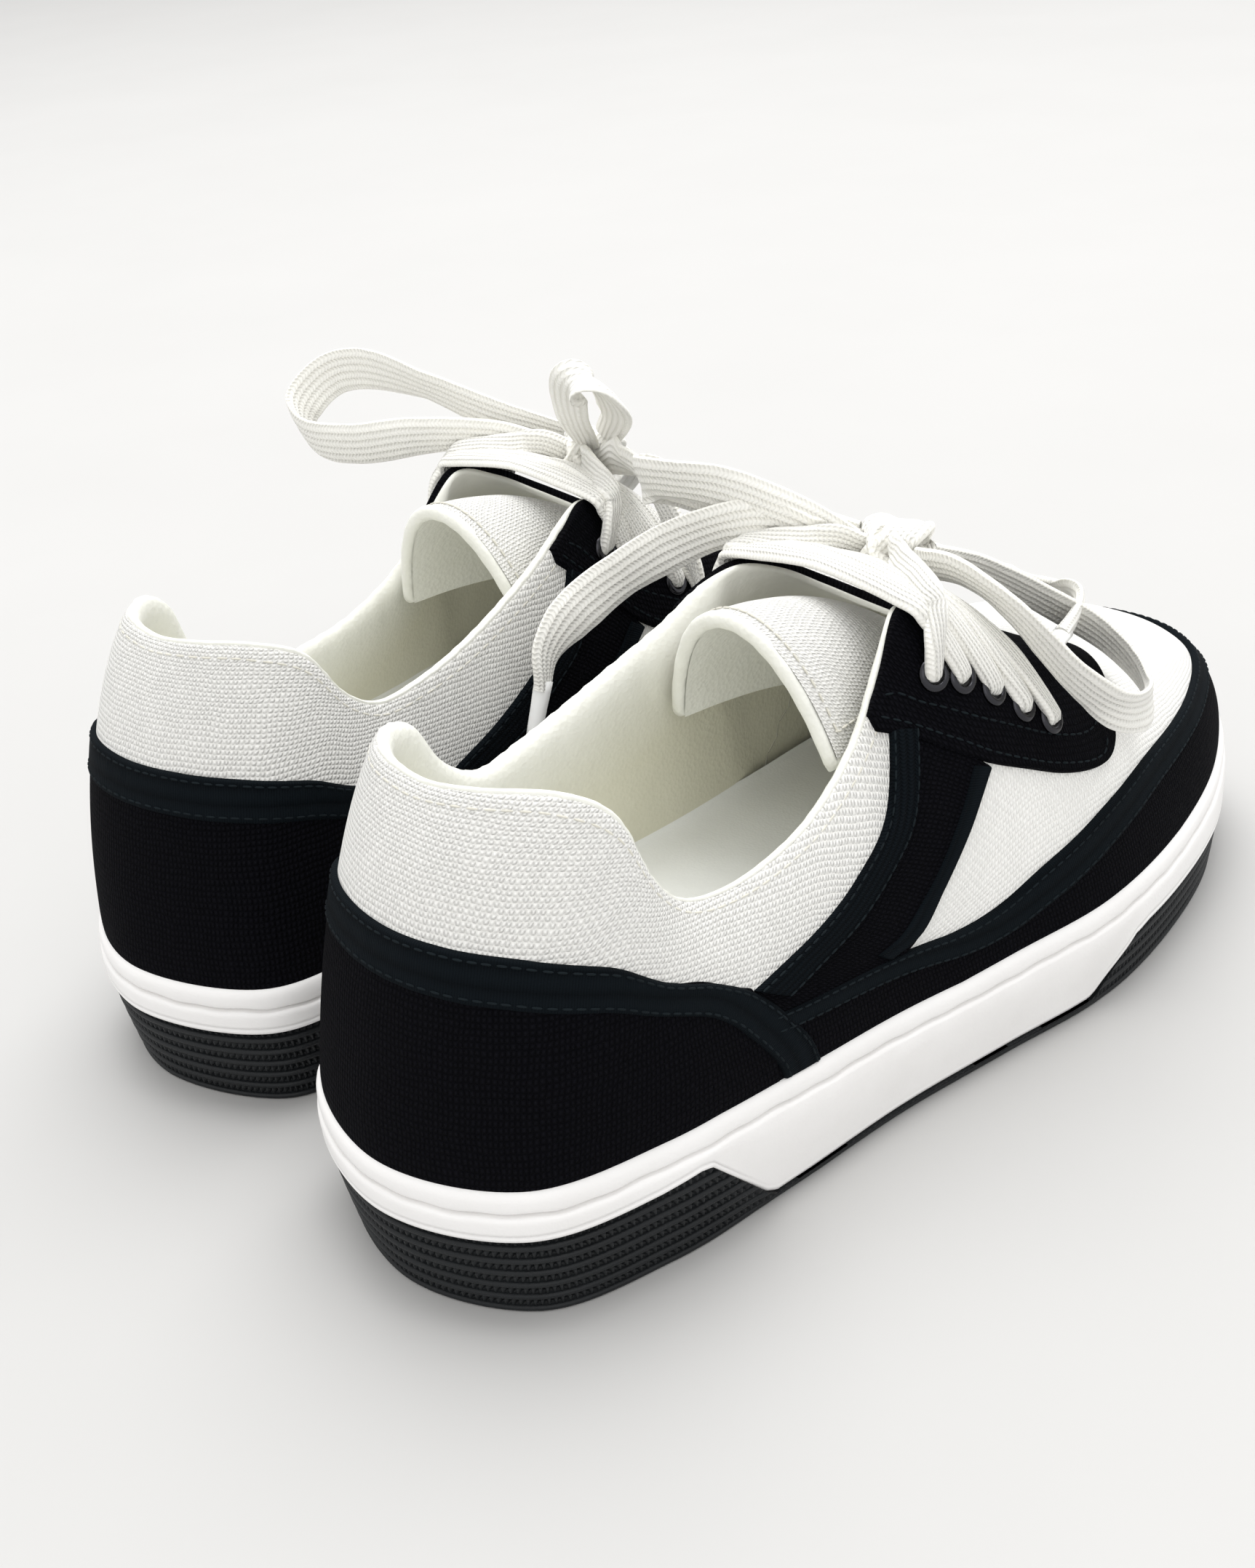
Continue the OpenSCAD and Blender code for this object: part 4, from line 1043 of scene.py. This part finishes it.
def rows_and_knot(side):
    """The laced rows over the tongue, and the knot's wraps."""
    for i, (k0, v0) in enumerate(EYELET_SPOTS):
        halves = []
        lean, lift = (TOP_LEAN, TOP_LIFT) if i == 0 else (0.0, 0.0)
        for sgn in (1, -1):
            k = k0 if sgn > 0 else 20 - k0
            f, t = (unit(surf(k + 0.1 * sgn, v) - surf(k - 0.1 * sgn, v)) for v in (v0, 0.97))
            halves.append([
                (skin(k, v0, 1.2), f), (skin(k, v0 + 0.015, OVER + 1.6), f),
                (skin(k + lean * sgn * 0.35, v0 + (0.95 - v0) * 0.45, OVER + 2.7 + lift * 0.5), f),
                (skin(k + lean * sgn * 0.75, v0 + (0.95 - v0) * 0.8, OVER + 3.1 + lift), t),
                (skin(k + lean * sgn, 0.97, OVER + 3.0 + lift), t)])
        if i == 0:
            for sgn, half in zip((1, -1), halves):
                e = half[-1][0]
                ahead = facing((-0.7 * sgn, 0.6, 0.3), (14 * sgn, e[1] + 7, e[2] + 1),
                               (8 * sgn, e[1] + 12, e[2] + 1), (3 * sgn, 164.0, 105.0))
                top = lace_mesh(side, f"lace_top_{'ab'[sgn < 0]}", half + ahead, TOP_WIDTHS,
                                LACE_T, 90, 80 + sgn)
                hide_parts(side + "_lace_rows")
            continue
        e, t = halves[0][-1]
        mid = [((e[0] * q, e[1] + 0.3, e[2] + h), (0, t[1], t[2]))
               for q, h in ((0.5, 2.2), (0.0, 3.0), (-0.5, 2.2))]
        lace_mesh(side, f"lace_row_{i + 1}", halves[0] + mid + halves[1][::-1], ROW_WIDTHS, 1.9,
                  150, 90 + i)
    for j, (rx, ry, rz, tilt, width) in enumerate(WRAPS):
        route = [(KNOT + np.array([rx * sin(q) * sin(tilt) * 1.5, ry * cos(q), rz * sin(q)]),
                  (cos(tilt), sin(tilt) * 0.7, 0.1)) for q in np.linspace(0, 2 * pi, 13)]
        wrap = lace_mesh(side, f"knot_wrap_{j + 1}", route, [width] * 3, 2.6, 70, 130 + j)
        if j == 0:
            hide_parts(side + "_lace_knot")


# -------- build both shoes
def sole(side):
    fit(side, side_wall(side, "foxing_wall", foxing_rows, "white_rubber", 620), "white_rubber",
        "foxing")
    fit(side, side_wall(side, "outsole_wall", outsole_rows, "black_rubber", 1560,
                        close_bottom=True), "black_rubber", "outsole")


for side in ("right", "left"):
    for build in (sole, upper, lining, footbed, tongue, eyelets, rows_and_knot, cords):
        build(side)
    for tag, material in (("midsole", "foam"), ("stiffeners", "board")):
        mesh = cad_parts[f"{side}_{tag}"].data
        mesh.materials.clear()
        mesh.materials.append(M[material])

# -------- floor and light
FLOOR_HALF = 6.0
floor_mesh = bpy.data.meshes.new("floor")
floor_mesh.from_pydata([(x * FLOOR_HALF, y * FLOOR_HALF, 0)
                        for x, y in ((-1, -1), (1, -1), (1, 1), (-1, 1))], [], [(0, 1, 2, 3)])
floor = linked("floor", floor_mesh)
floor_mat, floor_tree, floor_bsdf = new_material("floor", (0.62, 0.62, 0.61), 0.7)
cloud = noise_value(floor_tree, object_space(floor_tree), 6.0)
tint(floor_tree, floor_bsdf, cloud, (0.52, 0.515, 0.505), (0.55, 0.545, 0.535))
floor_mesh.materials.append(floor_mat)

world = bpy.data.worlds.new("studio")
bpy.context.scene.world = world
world.use_nodes = True
world.node_tree.nodes["Background"].inputs[0].default_value = (1, 1, 1, 1)
world.node_tree.nodes["Background"].inputs[1].default_value = 1.0


def area_light(name, place, aim, size, power):
    data = bpy.data.lights.new(name, "AREA")
    data.size = size
    data.energy = power
    z = unit(np.array(place, float) - np.array(aim, float))
    x = unit(np.cross([0, 0, 1], z))
    linked(name, data).matrix_world = standing(place, x, np.cross(z, x), z)


area_light("top_softbox", (-0.5, 0.7, 2.6), (0, 0, 0), 2.4, 62)
area_light("front_fill", (1.6, -1.0, 1.6), (0, 0, 0.05), 1.6, 6)
bpy.context.scene.view_settings.view_transform = "Standard"
